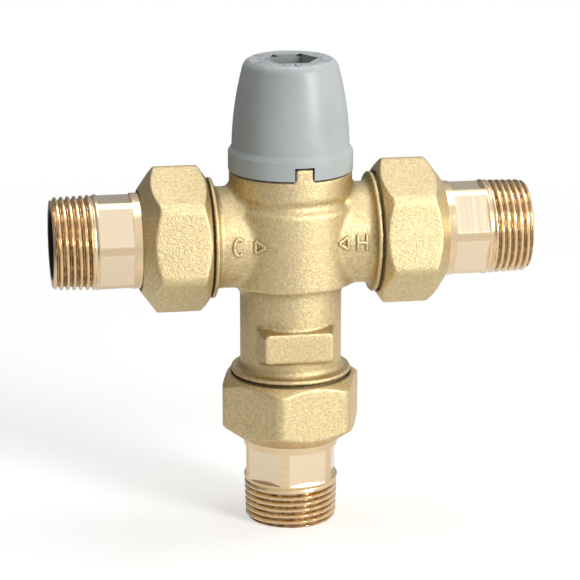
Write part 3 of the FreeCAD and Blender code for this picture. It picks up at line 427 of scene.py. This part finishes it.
def forged_brass():
    """Blasted forging: granular, warm, a little brighter where it is handled, with painted
    shade in its creases and where other parts hem it in, and a trace of dust on top.
    """
    material, tree, shader, where = new_material("forged_brass")
    tone = colours()
    shader.inputs["Metallic"].default_value = 1.0
    shader.inputs["Specular IOR Level"].default_value = 0.5
    grain = effect(tree, "grain", where,
                   {"Grain": 2500.0, "Unevenness": 1100.0, "Fine Share": 0.75})
    wear_and_shade = effect(tree, "wear_and_shade", where, {"Reach": 3.2 * MM})
    # painted shade: a broad occlusion mask darkens the brass where the arms, nuts and cap hem
    # it in
    broad_shade = effect(tree, "wear_and_shade", where, {"Reach": 14.0 * MM})
    dust_and_top_light = effect(tree, "dust_and_top_light", where, {"Amount": 0.12})
    mottled = blend_colour(tree, grain.outputs["Tone"], toned(tone.forged, 0.81),
                           toned(tone.forged, 1.14))
    bright = blend_colour(tree, share_of(tree, wear_and_shade.outputs["Edges"], 0.5), mottled,
                          toned(tone.forged, 1.2))
    shaded = blend_colour(tree, share_of(tree, broad_shade.outputs["Recesses"], 0.52), bright,
                          tone.forged_shade)
    # painted shade in creases and in the gaps under the cap and beside the nuts
    crevice_shaded = blend_colour(tree, share_of(tree, wear_and_shade.outputs["Recesses"], 0.9), shaded,
                           tone.forged_shade)
    dusted_and_top_lit = blend_colour(tree, dust_and_top_light.outputs["Dust"], crevice_shaded, tone.settled)
    tree.links.new(dusted_and_top_lit, shader.inputs["Base Color"])
    rough = math_node(tree, "ADD", span(tree, grain.outputs["Tone"], 0.0, 1.0, 0.5, 0.38),
                      share_of(tree, wear_and_shade.outputs["Recesses"], 0.2))
    tree.links.new(rough, shader.inputs["Roughness"])
    bump(tree, shader, grain.outputs["Height"], 0.75, 0.0003)
    return material


def from_tail_axis(tree, where, axis):
    """Distance from a tail's own axis."""
    across = add(tree, "VectorMath", {1: (0, 0, AXIS_HEIGHT if axis == "X" else 0)},
                 operation="SUBTRACT")
    tree.links.new(where, across.inputs[0])
    flat = add(tree, "VectorMath", {1: (0, 1, 1) if axis == "X" else (1, 1, 0)},
               operation="MULTIPLY")
    tree.links.new(across.outputs[0], flat.inputs[0])
    radius = add(tree, "VectorMath", operation="LENGTH")
    tree.links.new(flat.outputs[0], radius.inputs[0])
    return radius.outputs["Value"]


def milled_mask(tree, along, radius, axis):
    """One on a tail's wrench flats and nought elsewhere."""
    size, edge = sizes(), SOFT_EDGE
    from_middle = math_node(tree, "ABSOLUTE", along)
    if axis == "X":
        past_face = math_node(tree, "SUBTRACT", from_middle, TAIL_FACE)
    else:
        past_face = math_node(tree, "SUBTRACT", TAIL_LENGTH, from_middle)
    end = size.flats_start + size.flats_length
    length_mask = math_node(
        tree, "MULTIPLY",
        span(tree, past_face, size.flats_start - edge, size.flats_start),
        span(tree, past_face, end, end + edge, 1.0, 0.0))
    below_barrel = span(tree, radius, size.barrel_radius - 6 * edge,
                        size.barrel_radius - 2 * edge, 1.0, 0.0)
    return math_node(tree, "MULTIPLY", length_mask, below_barrel)


def turned_brass(axis):
    """Bright turned brass with rings across its axis, flats painted paler partly as sheen,
    thread roots darkened by painted shade and cutting oil, and a bore painted dark as shade.
    """
    material, tree, shader, where = new_material("turned_brass_" + axis.lower())
    tone = colours()
    shader.inputs["Metallic"].default_value = 1.0
    split = add(tree, "SeparateXYZ")
    tree.links.new(where, split.inputs[0])
    marks = place(tree, group_named("tool"), {"Feed": 7000.0}, {"Along": split.outputs[axis]})
    wear_and_shade = effect(tree, "wear_and_shade", where, {"Reach": 1.5 * MM})
    grain = effect(tree, "grain", where, {"Grain": 1500.0, "Unevenness": 120.0})
    base = blend_colour(tree, grain.outputs["Tone"], toned(tone.turned, 0.93), tone.turned)
    ringed = blend_colour(tree, share_of(tree, marks.outputs["Tone"], 0.25), base,
                          toned(tone.turned, 0.8))
    # thread roots: painted shade from occlusion, with the darkening of cutting oil
    roots = span(tree, wear_and_shade.outputs["Recesses"], 0.45, 0.95)
    deep = blend_colour(tree, roots, ringed, tone.turned_shade_and_oil)
    radius = from_tail_axis(tree, where, axis)
    # the bore painted near-black as painted shade
    inside = span(tree, radius, sizes().strainer_bore + 0.1 * MM,
                  sizes().strainer_bore + 0.3 * MM, 1.0, 0.0)
    # wrench flats painted paler: partly a milled face, partly painted sheen
    fresh = blend_colour(tree, milled_mask(tree, split.outputs[axis], radius, axis), deep,
                         tone.milled_tone_and_sheen)
    tree.links.new(blend_colour(tree, inside, fresh, tone.bore), shader.inputs["Base Color"])
    rough = math_node(tree, "ADD", span(tree, marks.outputs["Tone"], 0.0, 1.0, 0.12, 0.22),
                      share_of(tree, math_node(tree, "MAXIMUM", roots, inside), 0.3))
    tree.links.new(rough, shader.inputs["Roughness"])
    bump(tree, shader, marks.outputs["Height"], 0.35, 0.00003)
    return material


def cap_plastic():
    """Semi-gloss blue-grey moulding with a fine tooled grain, a painted top light in specks and
    painted shade where other parts hem it in.
    """
    material, tree, shader, where = new_material("cap_plastic")
    tone = colours()
    shader.inputs["Specular IOR Level"].default_value = 0.55
    grain = effect(tree, "grain", where, {"Grain": 4200.0, "Unevenness": 90.0})
    wear_and_shade = effect(tree, "wear_and_shade", where,
                  {"Edge Start": 0.55, "Edge Full": 0.68, "Reach": 7.0 * MM})
    # painted top light: the cap's upward faces made paler in specks, for the light from above,
    # with a trace of dust
    dust_and_top_light = effect(tree, "dust_and_top_light", where, {"Amount": 0.9})
    base = blend_colour(tree, grain.outputs["Tone"], toned(tone.cap, 0.92),
                        toned(tone.cap, 1.08))
    rubbed = blend_colour(tree, share_of(tree, wear_and_shade.outputs["Edges"], 0.3), base,
                          tone.cap_rubbed)
    dusted_and_top_lit = blend_colour(tree, dust_and_top_light.outputs["Dust"], rubbed, tone.cap_top_light_and_dust)
    # painted shade in the cap's socket and under its rim, where other parts hem it in
    deep = blend_colour(tree, share_of(tree, wear_and_shade.outputs["Recesses"], 0.85), dusted_and_top_lit,
                        toned(tone.cap, 0.3))
    tree.links.new(deep, shader.inputs["Base Color"])
    tree.links.new(span(tree, grain.outputs["Tone"], 0.0, 1.0, 0.30, 0.39),
                   shader.inputs["Roughness"])
    bump(tree, shader, grain.outputs["Height"], 0.25, 0.00008)
    return material


def drawn_steel():
    """Drawn wire and pressed sheet, with painted shade in its recesses."""
    material, tree, shader, where = new_material("drawn_steel")
    tone = colours()
    shader.inputs["Metallic"].default_value = 1.0
    grain = effect(tree, "grain", where, {"Grain": 5200.0, "Unevenness": 400.0})
    wear_and_shade = effect(tree, "wear_and_shade", where, {"Reach": 1.0 * MM})
    base = blend_colour(tree, grain.outputs["Tone"], toned(tone.steel, 0.85), tone.steel)
    # painted shade in the recesses, with some stain
    deep = blend_colour(tree, share_of(tree, wear_and_shade.outputs["Recesses"], 0.6), base,
                        tone.steel_shade_and_stain)
    tree.links.new(deep, shader.inputs["Base Color"])
    tree.links.new(span(tree, grain.outputs["Tone"], 0.0, 1.0, 0.22, 0.36),
                   shader.inputs["Roughness"])
    bump(tree, shader, grain.outputs["Height"], 0.2, 0.00003)
    return material


def plain_finish(name, tone, rough, grain_size, relief):
    """A moulded or sheet finish with grain, worn edges and painted shade in its recesses."""
    material, tree, shader, where = new_material(name)
    grain = effect(tree, "grain", where, {"Grain": grain_size, "Unevenness": 200.0})
    wear_and_shade = effect(tree, "wear_and_shade", where)
    base = blend_colour(tree, grain.outputs["Tone"], toned(tone, 0.88), tone)
    rubbed = blend_colour(tree, share_of(tree, wear_and_shade.outputs["Edges"], 0.3), base,
                          [min(1.0, part * 1.3 + 0.02) for part in tone])
    # painted shade in the recesses
    deep = blend_colour(tree, share_of(tree, wear_and_shade.outputs["Recesses"], 0.4), rubbed,
                        toned(tone, 0.5))
    tree.links.new(deep, shader.inputs["Base Color"])
    tree.links.new(span(tree, grain.outputs["Tone"], 0.0, 1.0, rough, rough + 0.12),
                   shader.inputs["Roughness"])
    bump(tree, shader, grain.outputs["Height"], relief, 0.00006)
    return material


def material_named(name):
    tone = colours()
    makers = {
        "forged": forged_brass,
        "turned_x": lambda: turned_brass("X"),
        "turned_z": lambda: turned_brass("Z"),
        "cap": cap_plastic,
        "steel": drawn_steel,
        "moulding": lambda: plain_finish("inner_moulding", tone.moulding, 0.42, 3000.0, 0.2),
        "rubber": lambda: plain_finish("seal_rubber", tone.rubber, 0.5, 3600.0, 0.4),
        "ink": lambda: plain_finish("cap_ink", tone.ink, 0.4, 5000.0, 0.1),
    }
    if name not in MATERIALS:
        MATERIALS[name] = makers[name]()
    return MATERIALS[name]


# ------------------------------ mesh helpers

def put(name, data):
    """An object with this data, linked to the scene."""
    item = bpy.data.objects.new(name, data)
    bpy.context.scene.collection.objects.link(item)
    return item


def baked(holder):
    """The mesh an object comes out as, modifiers and all; the object itself is removed."""
    view = bpy.context.evaluated_depsgraph_get()
    mesh = bpy.data.meshes.new_from_object(holder.evaluated_get(view))
    bpy.data.objects.remove(holder)
    return mesh


def mesh_of(name, points, faces):
    mesh = bpy.data.meshes.new(name)
    mesh.from_pydata(points, [], faces)
    return mesh


def new_piece(name, mesh, body, slot, material, *replaced, pressed=None):
    """Puts a mesh in the scene on a body, with the finish that material names; slot is not
    used.

    pressed is given for a spring that another body pushes: that body, and two points near the
    coil's ends. When it is given, the piece is only fixed where it stands and put on no body;
    what it holds is not used.
    """
    piece = put(name, mesh)
    mesh.materials.clear()
    mesh.materials.append(material_named(material))
    mesh.shade_smooth()
    if pressed:
        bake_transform(piece)
    else:
        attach(piece, body)
    if replaced:
        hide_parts(*replaced)
    return piece


def welded_copy(node):
    """The node's mesh with the splits along its edges closed."""
    mesh = NODES[node].data.copy()
    work = bmesh.new()
    work.from_mesh(mesh)
    bmesh.ops.remove_doubles(work, verts=work.verts, dist=1e-6)
    work.to_mesh(mesh)
    work.free()
    return mesh


def softened(node, grid, steps):
    """The node's form on an even grid, with its edges broken as a blasted forging's are."""
    holder = put("softening", welded_copy(node))
    even = holder.modifiers.new("even", "REMESH")
    even.mode = "VOXEL"
    even.voxel_size = grid
    even.adaptivity = 0.0
    soft = holder.modifiers.new("soft", "SMOOTH")
    soft.factor = 0.5
    soft.iterations = steps
    return baked(holder)


def lathe_mesh(name, rows, count):
    """A closed mesh of rings; each row gives its place along the axis and radii by angle."""
    points, faces = [], []
    for along, radii in rows:
        for index in range(count):
            angle = 2 * math.pi * index / count
            radius = radii(angle) if callable(radii) else radii
            points.append((radius * math.cos(angle), radius * math.sin(angle), along))
    total = len(rows)
    for row in range(total):
        after = (row + 1) % total
        for index in range(count):
            nxt = (index + 1) % count
            faces.append((row * count + index, row * count + nxt, after * count + nxt,
                          after * count + index))
    mesh = mesh_of(name, points, faces)
    mesh.validate()
    return mesh


def branch_axes(branch, roll):
    """Origin and directions of a branch's own X, Y and Z, for a roll from the front."""
    if branch == "mixed":
        out = Vector((0, 0, -1))
        look = Vector((math.sin(roll), -math.cos(roll), 0))
        return Vector((0, 0, TAIL_LENGTH)), look, out.cross(look), out
    out = Vector((1 if branch == "hot" else -1, 0, 0))
    look = Vector((0, -math.cos(roll), math.sin(roll)))
    return Vector((TAIL_FACE * out.x, 0, AXIS_HEIGHT)), look, out.cross(look), out


def to_branch(mesh, branch, roll):
    """Moves a mesh drawn about a tail's flange into the valve's frame."""
    origin, look, side, out = branch_axes(branch, roll)
    for vertex in mesh.vertices:
        x, y, z = vertex.co
        vertex.co = origin + look * x + side * y + out * z
    mesh.update()


def outward_normals(mesh):
    work = bmesh.new()
    work.from_mesh(mesh)
    bmesh.ops.recalc_face_normals(work, faces=work.faces)
    work.to_mesh(mesh)
    work.free()


# ------------------------------ pieces

def tail_rows():
    """Rings of a tail from the flange's inner edge, round the outside and back up the bore."""
    size = sizes()
    edge, step, mouth = size.turned_edge, size.wrench_edge, size.mouth_edge
    flat_end = size.flats_start + size.flats_length
    thread_start = TAIL_LENGTH - size.thread_length

    def barrel(along):
        cut = size.flats_start <= along <= flat_end

        def radius(angle):
            if not cut:
                return size.barrel_radius
            sixth = math.pi / 3
            off = (angle + sixth / 2) % sixth - sixth / 2
            return min(size.barrel_radius, size.flats / 2 / math.cos(off))
        return radius

    def thread(along):
        done = along - thread_start
        crest = size.thread_radius - done * THREAD_TAPER
        run_out = min(1.0, max(0.0, done / (THREAD_RUN_OUT * size.thread_pitch)))
        left = TAIL_LENGTH - along
        limit = FLANGE_RADIUS
        if left < size.thread_chamfer:
            limit = size.thread_radius - size.chamfer_drop + left * NOSE_SLOPE

        def radius(angle):
            phase = (along / size.thread_pitch - angle / (2 * math.pi)) % 1.0
            side = abs(phase - 0.5) * 2
            groove = min(1.0, max(0.0, (side - THREAD_CREST) / THREAD_FLANK))
            return min(crest - size.thread_depth * groove * run_out, limit)
        return radius

    rows = [(0.0, size.seat_radius), (0.0, FLANGE_RADIUS - edge), (edge, FLANGE_RADIUS),
            (size.flange_thick - edge, FLANGE_RADIUS),
            (size.flange_thick, FLANGE_RADIUS - edge), (size.flange_thick, size.barrel_radius)]
    for along in (size.flats_start - step, size.flats_start, flat_end, flat_end + step,
                  thread_start - step):
        rows.append((along, barrel(along)))
    for index in range(THREAD_ROWS + 1):
        along = thread_start + (size.thread_length - step) * index / THREAD_ROWS
        rows.append((along, thread(along)))
    rows += [(TAIL_LENGTH, size.thread_radius - size.end_drop),
             (TAIL_LENGTH, size.bore_radius + mouth), (TAIL_LENGTH - mouth, size.bore_radius),
             (size.strainer_depth, size.bore_radius), (size.strainer_depth, size.strainer_bore),
             (size.seat_depth, size.strainer_bore), (size.seat_depth, size.seat_radius)]
    return rows


def threaded_tail(branch):
    mesh = lathe_mesh(branch + "_threaded_tail", tail_rows(), TAIL_SIDES)
    to_branch(mesh, branch, math.radians(FLAT_TURN[branch]))
    outward_normals(mesh)
    piece = new_piece(branch + "_threaded_tail", mesh, branch + "_tail", "turned_brass",
                      "turned_z" if branch == "mixed" else "turned_x", branch + "_tailpiece")
    mesh.set_sharp_from_angle(angle=math.radians(35))
    return piece


def bar_faces(ring, rings):
    """Faces through rings of points, with both ends closed."""
    faces = []
    for start in range(0, (rings - 1) * ring, ring):
        for index in range(ring):
            after = (index + 1) % ring
            faces.append((start + index, start + after, start + ring + after,
                          start + ring + index))
    last = (rings - 1) * ring
    return faces + [tuple(range(ring)), tuple(reversed(range(last, last + ring)))]


def spring_mesh(name, centre, along, radius, wire, low, high, turns):
    """A coil of round wire with closed ends."""
    steps, sides = int(turns * 40), 10
    look = BACKWARDS if abs(along.y) < 0.5 else Vector((1, 0, 0))
    side = along.cross(look)
    points = []
    for step in range(steps + 1):
        done = step / steps
        angle = 2 * math.pi * turns * done
        rise = low + wire + (high - low - 2 * wire) * done
        radial = look * math.cos(angle) + side * math.sin(angle)
        middle = centre + radial * radius + along * rise
        for index in range(sides):
            turn = 2 * math.pi * index / sides
            points.append(middle + radial * (wire * math.cos(turn))
                          + along * (wire * math.sin(turn)))
    mesh = mesh_of(name, points, bar_faces(sides, steps + 1))
    outward_normals(mesh)
    return mesh


def surface_of(piece):
    view = bpy.context.evaluated_depsgraph_get()
    return BVHTree.FromObject(piece, view)


def on_front(surface, x, z):
    """Point and normal of the surface that is first met going back from the front."""
    hit, normal, _, _ = surface.ray_cast(Vector((x, -AHEAD, z)), BACKWARDS)
    if hit is None:
        raise RuntimeError("a raised stroke runs off the body")
    return hit, normal


def raised_stroke(path, surface, width, relief):
    """Points and faces of a rounded bead that follows the surface behind a path in X and Z."""
    points = []
    last = len(path) - 1
    for step, (x, z) in enumerate(path):
        x0, z0 = path[max(step - 1, 0)]
        x1, z1 = path[min(step + 1, last)]
        run = math.hypot(x1 - x0, z1 - z0)
        side_x, side_z = -(z1 - z0) / run, (x1 - x0) / run
        for offset, height in BEAD:
            hit, normal = on_front(surface, x + side_x * offset * width / 2,
                                   z + side_z * offset * width / 2)
            if step in (0, last):
                height = min(height, BEAD[0][1])
            points.append(hit + normal * relief * height)
    return points, bar_faces(len(BEAD), last + 1)


def between(start, end, done):
    return tuple(a + (b - a) * done for a, b in zip(start, end))


def straight(start, end, count=14, close=0.02):
    """A straight path with a point close to each end, so that the bead ends square."""
    path = [between(start, end, step / count) for step in range(count + 1)]
    return [path[0], between(path[0], path[1], close), *path[1:-1],
            between(path[-1], path[-2], close), path[-1]]


def arc_path(middle, radius_x, radius_z, start, end, count=28):
    turns = [math.radians(start + (end - start) * step / count) for step in range(count + 1)]
    return [(middle[0] + radius_x * math.cos(turn), middle[1] + radius_z * math.sin(turn))
            for turn in turns]


def marks():
    """Strokes of the inlet letters and flow arrows on the arms, in X and Z."""
    size = sizes()
    high = size.letter_height / 2 - size.stroke / 2
    half = size.letter_half_width
    middle = AXIS_HEIGHT + size.letter_lift
    left, right = size.hot_letter_place - half, size.hot_letter_place + half
    strokes = {
        "cold_letter": [arc_path((size.cold_letter_place, middle), half, high, 42, 318)],
        "hot_letter": [straight((left, middle - high), (left, middle + high)),
                       straight((right, middle - high), (right, middle + high)),
                       straight((left, middle), (right, middle))],
    }
    for name, back, way in (("cold_arrow", size.cold_arrow_place, 1),
                            ("hot_arrow", size.hot_arrow_place, -1)):
        tip = (back + way * size.arrow_length, middle)
        upper = (back, middle + size.arrow_half_height)
        lower = (back, middle - size.arrow_half_height)
        strokes[name] = [straight(upper, tip), straight(lower, tip), straight(lower, upper)]
    return strokes


def text_points(text, height):
    """Triangles of a flat figure, as points and faces about its middle."""
    curve = bpy.data.curves.new("figure", "FONT")
    curve.body = text
    curve.size = height * 1.4
    curve.align_x = "CENTER"
    curve.align_y = "CENTER"
    mesh = baked(put("figure", curve))
    points = [tuple(vertex.co[:2]) for vertex in mesh.vertices]
    return points, [tuple(face.vertices) for face in mesh.polygons]


# ------------------------------ operators

class VALVE_OT_forged_body(bpy.types.Operator):
    """Make the forged body with its raised letters and arrows"""
    bl_idname = "valve.forged_body"
    bl_label = "Forged body"

    def execute(self, context):
        size = sizes()
        body = new_piece("forged_body", softened("valve_body", size.body_grid, 3), "valve",
                         "forged_brass", "forged", "valve_body")
        surface = surface_of(body)
        for name, strokes in marks().items():
            points, faces = [], []
            for path in strokes:
                more, turns = raised_stroke(path, surface, size.stroke, size.letter_raise)
                faces += [tuple(index + len(points) for index in face) for face in turns]
                points += more
            mesh = mesh_of("raised_" + name, points, faces)
            outward_normals(mesh)
            new_piece("raised_" + name, mesh, "valve", "forged_brass", "forged")
        return {"FINISHED"}


class VALVE_OT_union_nuts(bpy.types.Operator):
    """Make the three forged union nuts"""
    bl_idname = "valve.union_nuts"
    bl_label = "Union nuts"

    def execute(self, context):
        for branch in BRANCHES:
            node = branch + "_union_nut"
            new_piece(branch + "_forged_nut", softened(node, sizes().nut_grid, 3),
                      branch + "_nut", "forged_brass", "forged", node)
        return {"FINISHED"}


class VALVE_OT_threaded_tails(bpy.types.Operator):
    """Make the three tails with wrench flats and taper pipe threads"""
    bl_idname = "valve.threaded_tails"
    bl_label = "Threaded tails"

    def execute(self, context):
        for branch in BRANCHES:
            threaded_tail(branch)
        return {"FINISHED"}


class VALVE_OT_springs(bpy.types.Operator):
    """Make the springs of round wire"""
    bl_idname = "valve.springs"
    bl_label = "Springs"

    def execute(self, context):
        size = sizes()
        up, axis = Vector((0, 0, 1)), Vector((0, 0, 0))
        for node, body, other, wire, turns in (
                ("return_spring", "valve", None, size.return_wire, size.return_turns),
                ("overtravel_spring", "setting_nut", "thrust", size.overtravel_wire,
                 size.overtravel_turns)):
            low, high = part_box(node)
            radius = (high.x - low.x) / 2 - wire
            mesh = spring_mesh(node + "_coil", axis, up, radius, wire, low.z, high.z, turns)
            pressed = other and (other, (0, 0, high.z - 2 * wire), (0, 0, low.z + 2 * wire))
            new_piece(node + "_coil", mesh, body, "spring_steel", "steel", node,
                      pressed=pressed)
        for branch in ("hot", "cold"):
            node = branch + "_check_spring"
            low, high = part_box(node)
            wire = size.check_wire
            radius = (high.z - low.z) / 2 - wire
            mesh = spring_mesh(node + "_coil", Vector((0, 0, AXIS_HEIGHT)), Vector((1, 0, 0)),
                               radius, wire, low.x, high.x, size.check_turns)
            ends = [low.x + 2 * wire, high.x - 2 * wire]
            if branch == "cold":
                ends.reverse()
            start, end = ((along, 0, AXIS_HEIGHT) for along in ends)
            new_piece(node + "_coil", mesh, "valve", "spring_steel", "steel", node,
                      pressed=(branch + "_check", start, end))
        return {"FINISHED"}


class VALVE_OT_cap_print(bpy.types.Operator):
    """Print a plain scale of figures and ticks on the cap's top"""
    bl_idname = "valve.cap_print"
    bl_label = "Cap print"

    def execute(self, context):
        size = sizes()
        low = CAP_TOP - 2 * BARELY
        points, faces = [], []

        def lay(flat, turns, angle, distance):
            """Adds a flat figure, turned to stand round the socket."""
            base = len(points)
            c, s = math.cos(angle), math.sin(angle)
            for layer in (0.0, size.print_thick):
                for x, y in flat:
                    out = distance + y
                    points.append((out * c + x * s, out * s - x * c, low + layer))
            count = len(flat)
            faces.extend(tuple(base + count + i for i in face) for face in turns)
            faces.extend(tuple(base + i for i in reversed(face)) for face in turns)

        figures, ticks = 5, 25
        arc = math.radians(250)
        start = math.radians(-90) - arc / 2
        for index in range(figures):
            flat, turns = text_points(str(index + 1), size.figure_height)
            lay(flat, turns, start + arc * (figures - 1 - index) / (figures - 1),
                size.figure_ring)
        half = size.tick_half_width
        for index in range(ticks):
            at_figure = index % ((ticks - 1) // (figures - 1)) == 0
            reach = size.long_tick if at_figure else size.short_tick
            flat = [(-half, -reach), (half, -reach), (half, reach), (-half, reach)]
            lay(flat, [(0, 1, 2, 3)], start + arc * index / (ticks - 1), size.tick_ring)
        mesh = mesh_of("cap_scale", points, faces)
        new_piece("cap_scale", mesh, "cap", "cap_plastic", "ink")
        return {"FINISHED"}


class VALVE_OT_socket_lip(bpy.types.Operator):
    """Carry the socket's six walls up to the cap's top"""
    bl_idname = "valve.socket_lip"
    bl_label = "Socket lip"

    def execute(self, context):
        size = sizes()
        reach = size.socket_flats / math.sqrt(3)
        sunk = reach + size.socket_grip
        high = CAP_TOP - BARELY
        points, faces, steps = [], [], 12
        for side in range(6):
            base = len(points)
            ways = [(reach, side + 1), (reach, side)]
            ways += [(sunk, side + step / steps) for step in range(steps + 1)]
            outline = [(out * math.cos(math.radians(60 * sixth)),
                        out * math.sin(math.radians(60 * sixth))) for out, sixth in ways]
            count = len(outline)
            for level in (high, high - size.socket_lip):
                points += [(x, y, level) for x, y in outline]
            faces.append(tuple(base + index for index in range(count)))
            faces.append(tuple(base + count + index for index in reversed(range(count))))
            for index in range(count):
                after = (index + 1) % count
                faces.append((base + index, base + count + index, base + count + after,
                              base + after))
        mesh = mesh_of("socket_lip", points, faces)
        outward_normals(mesh)
        new_piece("socket_lip", mesh, "cap", "cap_plastic", "cap")
        mesh.set_sharp_from_angle(angle=math.radians(25))
        return {"FINISHED"}


FINISHES = {
    "forged_brass": "forged", "turned_brass": "turned_z", "cap_plastic": "cap",
    "inner_plastic": "moulding", "seal_rubber": "rubber", "gasket_rubber": "rubber",
    "spring_steel": "steel", "strainer_steel": "steel",
}


class VALVE_OT_carried_parts(bpy.types.Operator):
    """Give each carried-over part its finish"""
    bl_idname = "valve.carried_parts"
    bl_label = "Carried-over parts"

    def execute(self, context):
        for row in frame["record"]["subparts"]:
            part = NODES[row["node"]]
            part.data.materials.clear()
            part.data.materials.append(material_named(FINISHES[row["material_slot"]]))
        return {"FINISHED"}


def area_lamp(name, place_at, aim, width, height, power):
    lamp = bpy.data.lights.new(name, "AREA")
    lamp.shape = "RECTANGLE"
    lamp.size, lamp.size_y, lamp.energy = width, height, power
    item = put(name, lamp)
    item.location = place_at
    item.rotation_euler = (aim - item.location).to_track_quat("-Z", "Y").to_euler()


def floor_material():
    """Pale floor that fades out far from the object, so that no horizon shows."""
    material, tree, shader, where = new_material("pale_floor")
    shader.inputs["Roughness"].default_value = 0.85
    shader.inputs["Specular IOR Level"].default_value = 0.1
    shader.inputs["Emission Color"].default_value = (1.0, 1.0, 1.0, 1.0)
    seen = add(tree, "LightPath").outputs["Is Camera Ray"]
    tree.links.new(span(tree, seen, 0.0, 1.0, *FLOOR_GLOW), shader.inputs["Emission Strength"])
    grain = effect(tree, "grain", where, {"Grain": 300.0, "Unevenness": 12.0})
    tone = colours().floor
    tree.links.new(blend_colour(tree, grain.outputs["Tone"], toned(tone, 0.995), tone),
                   shader.inputs["Base Color"])
    reach = add(tree, "VectorMath", operation="LENGTH")
    tree.links.new(where, reach.inputs[0])
    tree.links.new(span(tree, reach.outputs["Value"], *FLOOR_FADE, 1.0, 0.0),
                   shader.inputs["Alpha"])
    return material


def studio_world():
    """Dim room light, and a white surround for the camera and for reflections."""
    world = bpy.data.worlds.new("studio")
    world.use_nodes = True
    tree = world.node_tree
    out = next(item for item in tree.nodes if item.type == "OUTPUT_WORLD")
    room = next(item for item in tree.nodes if item.type == "BACKGROUND")
    room.inputs["Color"].default_value = (1.0, 0.99, 0.97, 1.0)
    room.inputs["Strength"].default_value = bpy.context.scene.valve_stage.room_light
    white = add(tree, "Background", {"Color": (1.0, 1.0, 1.0, 1.0), "Strength": 1.0})
    rays = add(tree, "LightPath")
    seen = math_node(tree, "MAXIMUM", rays.outputs["Is Camera Ray"],
                     rays.outputs["Is Transmission Ray"])
    shining = add(tree, "Background", {"Color": (1.0, 1.0, 1.0, 1.0)})
    way = add(tree, "TexCoord").outputs["Generated"]
    turn = add(tree, "VectorMath", {1: BRIGHT_SIDE.normalized()}, operation="DOT_PRODUCT")
    tree.links.new(way, turn.inputs[0])
    tree.links.new(span(tree, turn.outputs["Value"], *SURROUND), shining.inputs["Strength"])
    lit = mix_shaders(tree, rays.outputs["Is Glossy Ray"], room.outputs[0], shining.outputs[0])
    last = mix_shaders(tree, seen, lit, white.outputs[0])
    tree.links.new(last, out.inputs["Surface"])
    return world


class VALVE_OT_stage(bpy.types.Operator):
    """Set the floor, the lamps, the surround and the camera"""
    bl_idname = "valve.stage"
    bl_label = "Stage"

    def execute(self, context):
        view = context.scene.valve_stage
        half = FLOOR_HALF
        mesh = mesh_of("floor", [(-half, -half, 0), (half, -half, 0), (half, half, 0),
                                 (-half, half, 0)], [(0, 1, 2, 3)])
        floor = put("floor", mesh)
        mesh.materials.append(floor_material())
        aim = Vector((view.aim_side, 0, view.aim_height))
        for name, place_at, width, height in LAMPS:
            area_lamp(name, place_at, aim, width, height, getattr(view, name + "_power"))
        context.scene.world = studio_world()
        level = math.cos(view.elevation)
        back = Vector((math.sin(view.azimuth) * level, -math.cos(view.azimuth) * level,
                       math.sin(view.elevation)))
        lens = bpy.data.cameras.new("camera")
        lens.lens, lens.sensor_width = view.lens, 36.0
        camera = put("camera", lens)
        camera.location = aim + back * view.distance
        camera.rotation_euler = (-back).to_track_quat("-Z", "Y").to_euler()
        context.scene.camera = camera
        context.scene.view_settings.view_transform = "Standard"
        return {"FINISHED"}


class VALVE_PT_panel(bpy.types.Panel):
    """Lists the steps that finish the valve"""
    bl_idname = "VALVE_PT_panel"
    bl_label = "Mixing valve"
    bl_space_type = "VIEW_3D"
    bl_region_type = "UI"
    bl_category = "Valve"

    def draw(self, context):
        for step in OPERATORS:
            self.layout.operator(step.bl_idname)
        for group in ("valve_sizes", "valve_colours", "valve_stage"):
            settings = getattr(context.scene, group)
            for key in settings.bl_rna.properties.keys():
                if key not in ("rna_type", "name"):
                    self.layout.prop(settings, key)


OPERATORS = (VALVE_OT_carried_parts, VALVE_OT_forged_body, VALVE_OT_union_nuts,
             VALVE_OT_threaded_tails, VALVE_OT_springs, VALVE_OT_cap_print, VALVE_OT_socket_lip,
             VALVE_OT_stage)
CLASSES = (ValveSizes, ValveColours, StageSettings, *OPERATORS, VALVE_PT_panel)


def register():
    for item in CLASSES:
        bpy.utils.register_class(item)
    bpy.types.Scene.valve_sizes = bpy.props.PointerProperty(type=ValveSizes)
    bpy.types.Scene.valve_colours = bpy.props.PointerProperty(type=ValveColours)
    bpy.types.Scene.valve_stage = bpy.props.PointerProperty(type=StageSettings)


def unregister():
    for name in ("valve_sizes", "valve_colours", "valve_stage"):
        delattr(bpy.types.Scene, name)
    for item in reversed(CLASSES):
        bpy.utils.unregister_class(item)


def main():
    register()
    for step in OPERATORS:
        family, action = step.bl_idname.split(".")
        getattr(getattr(bpy.ops, family), action)()


if __name__ == "__main__":
    main()
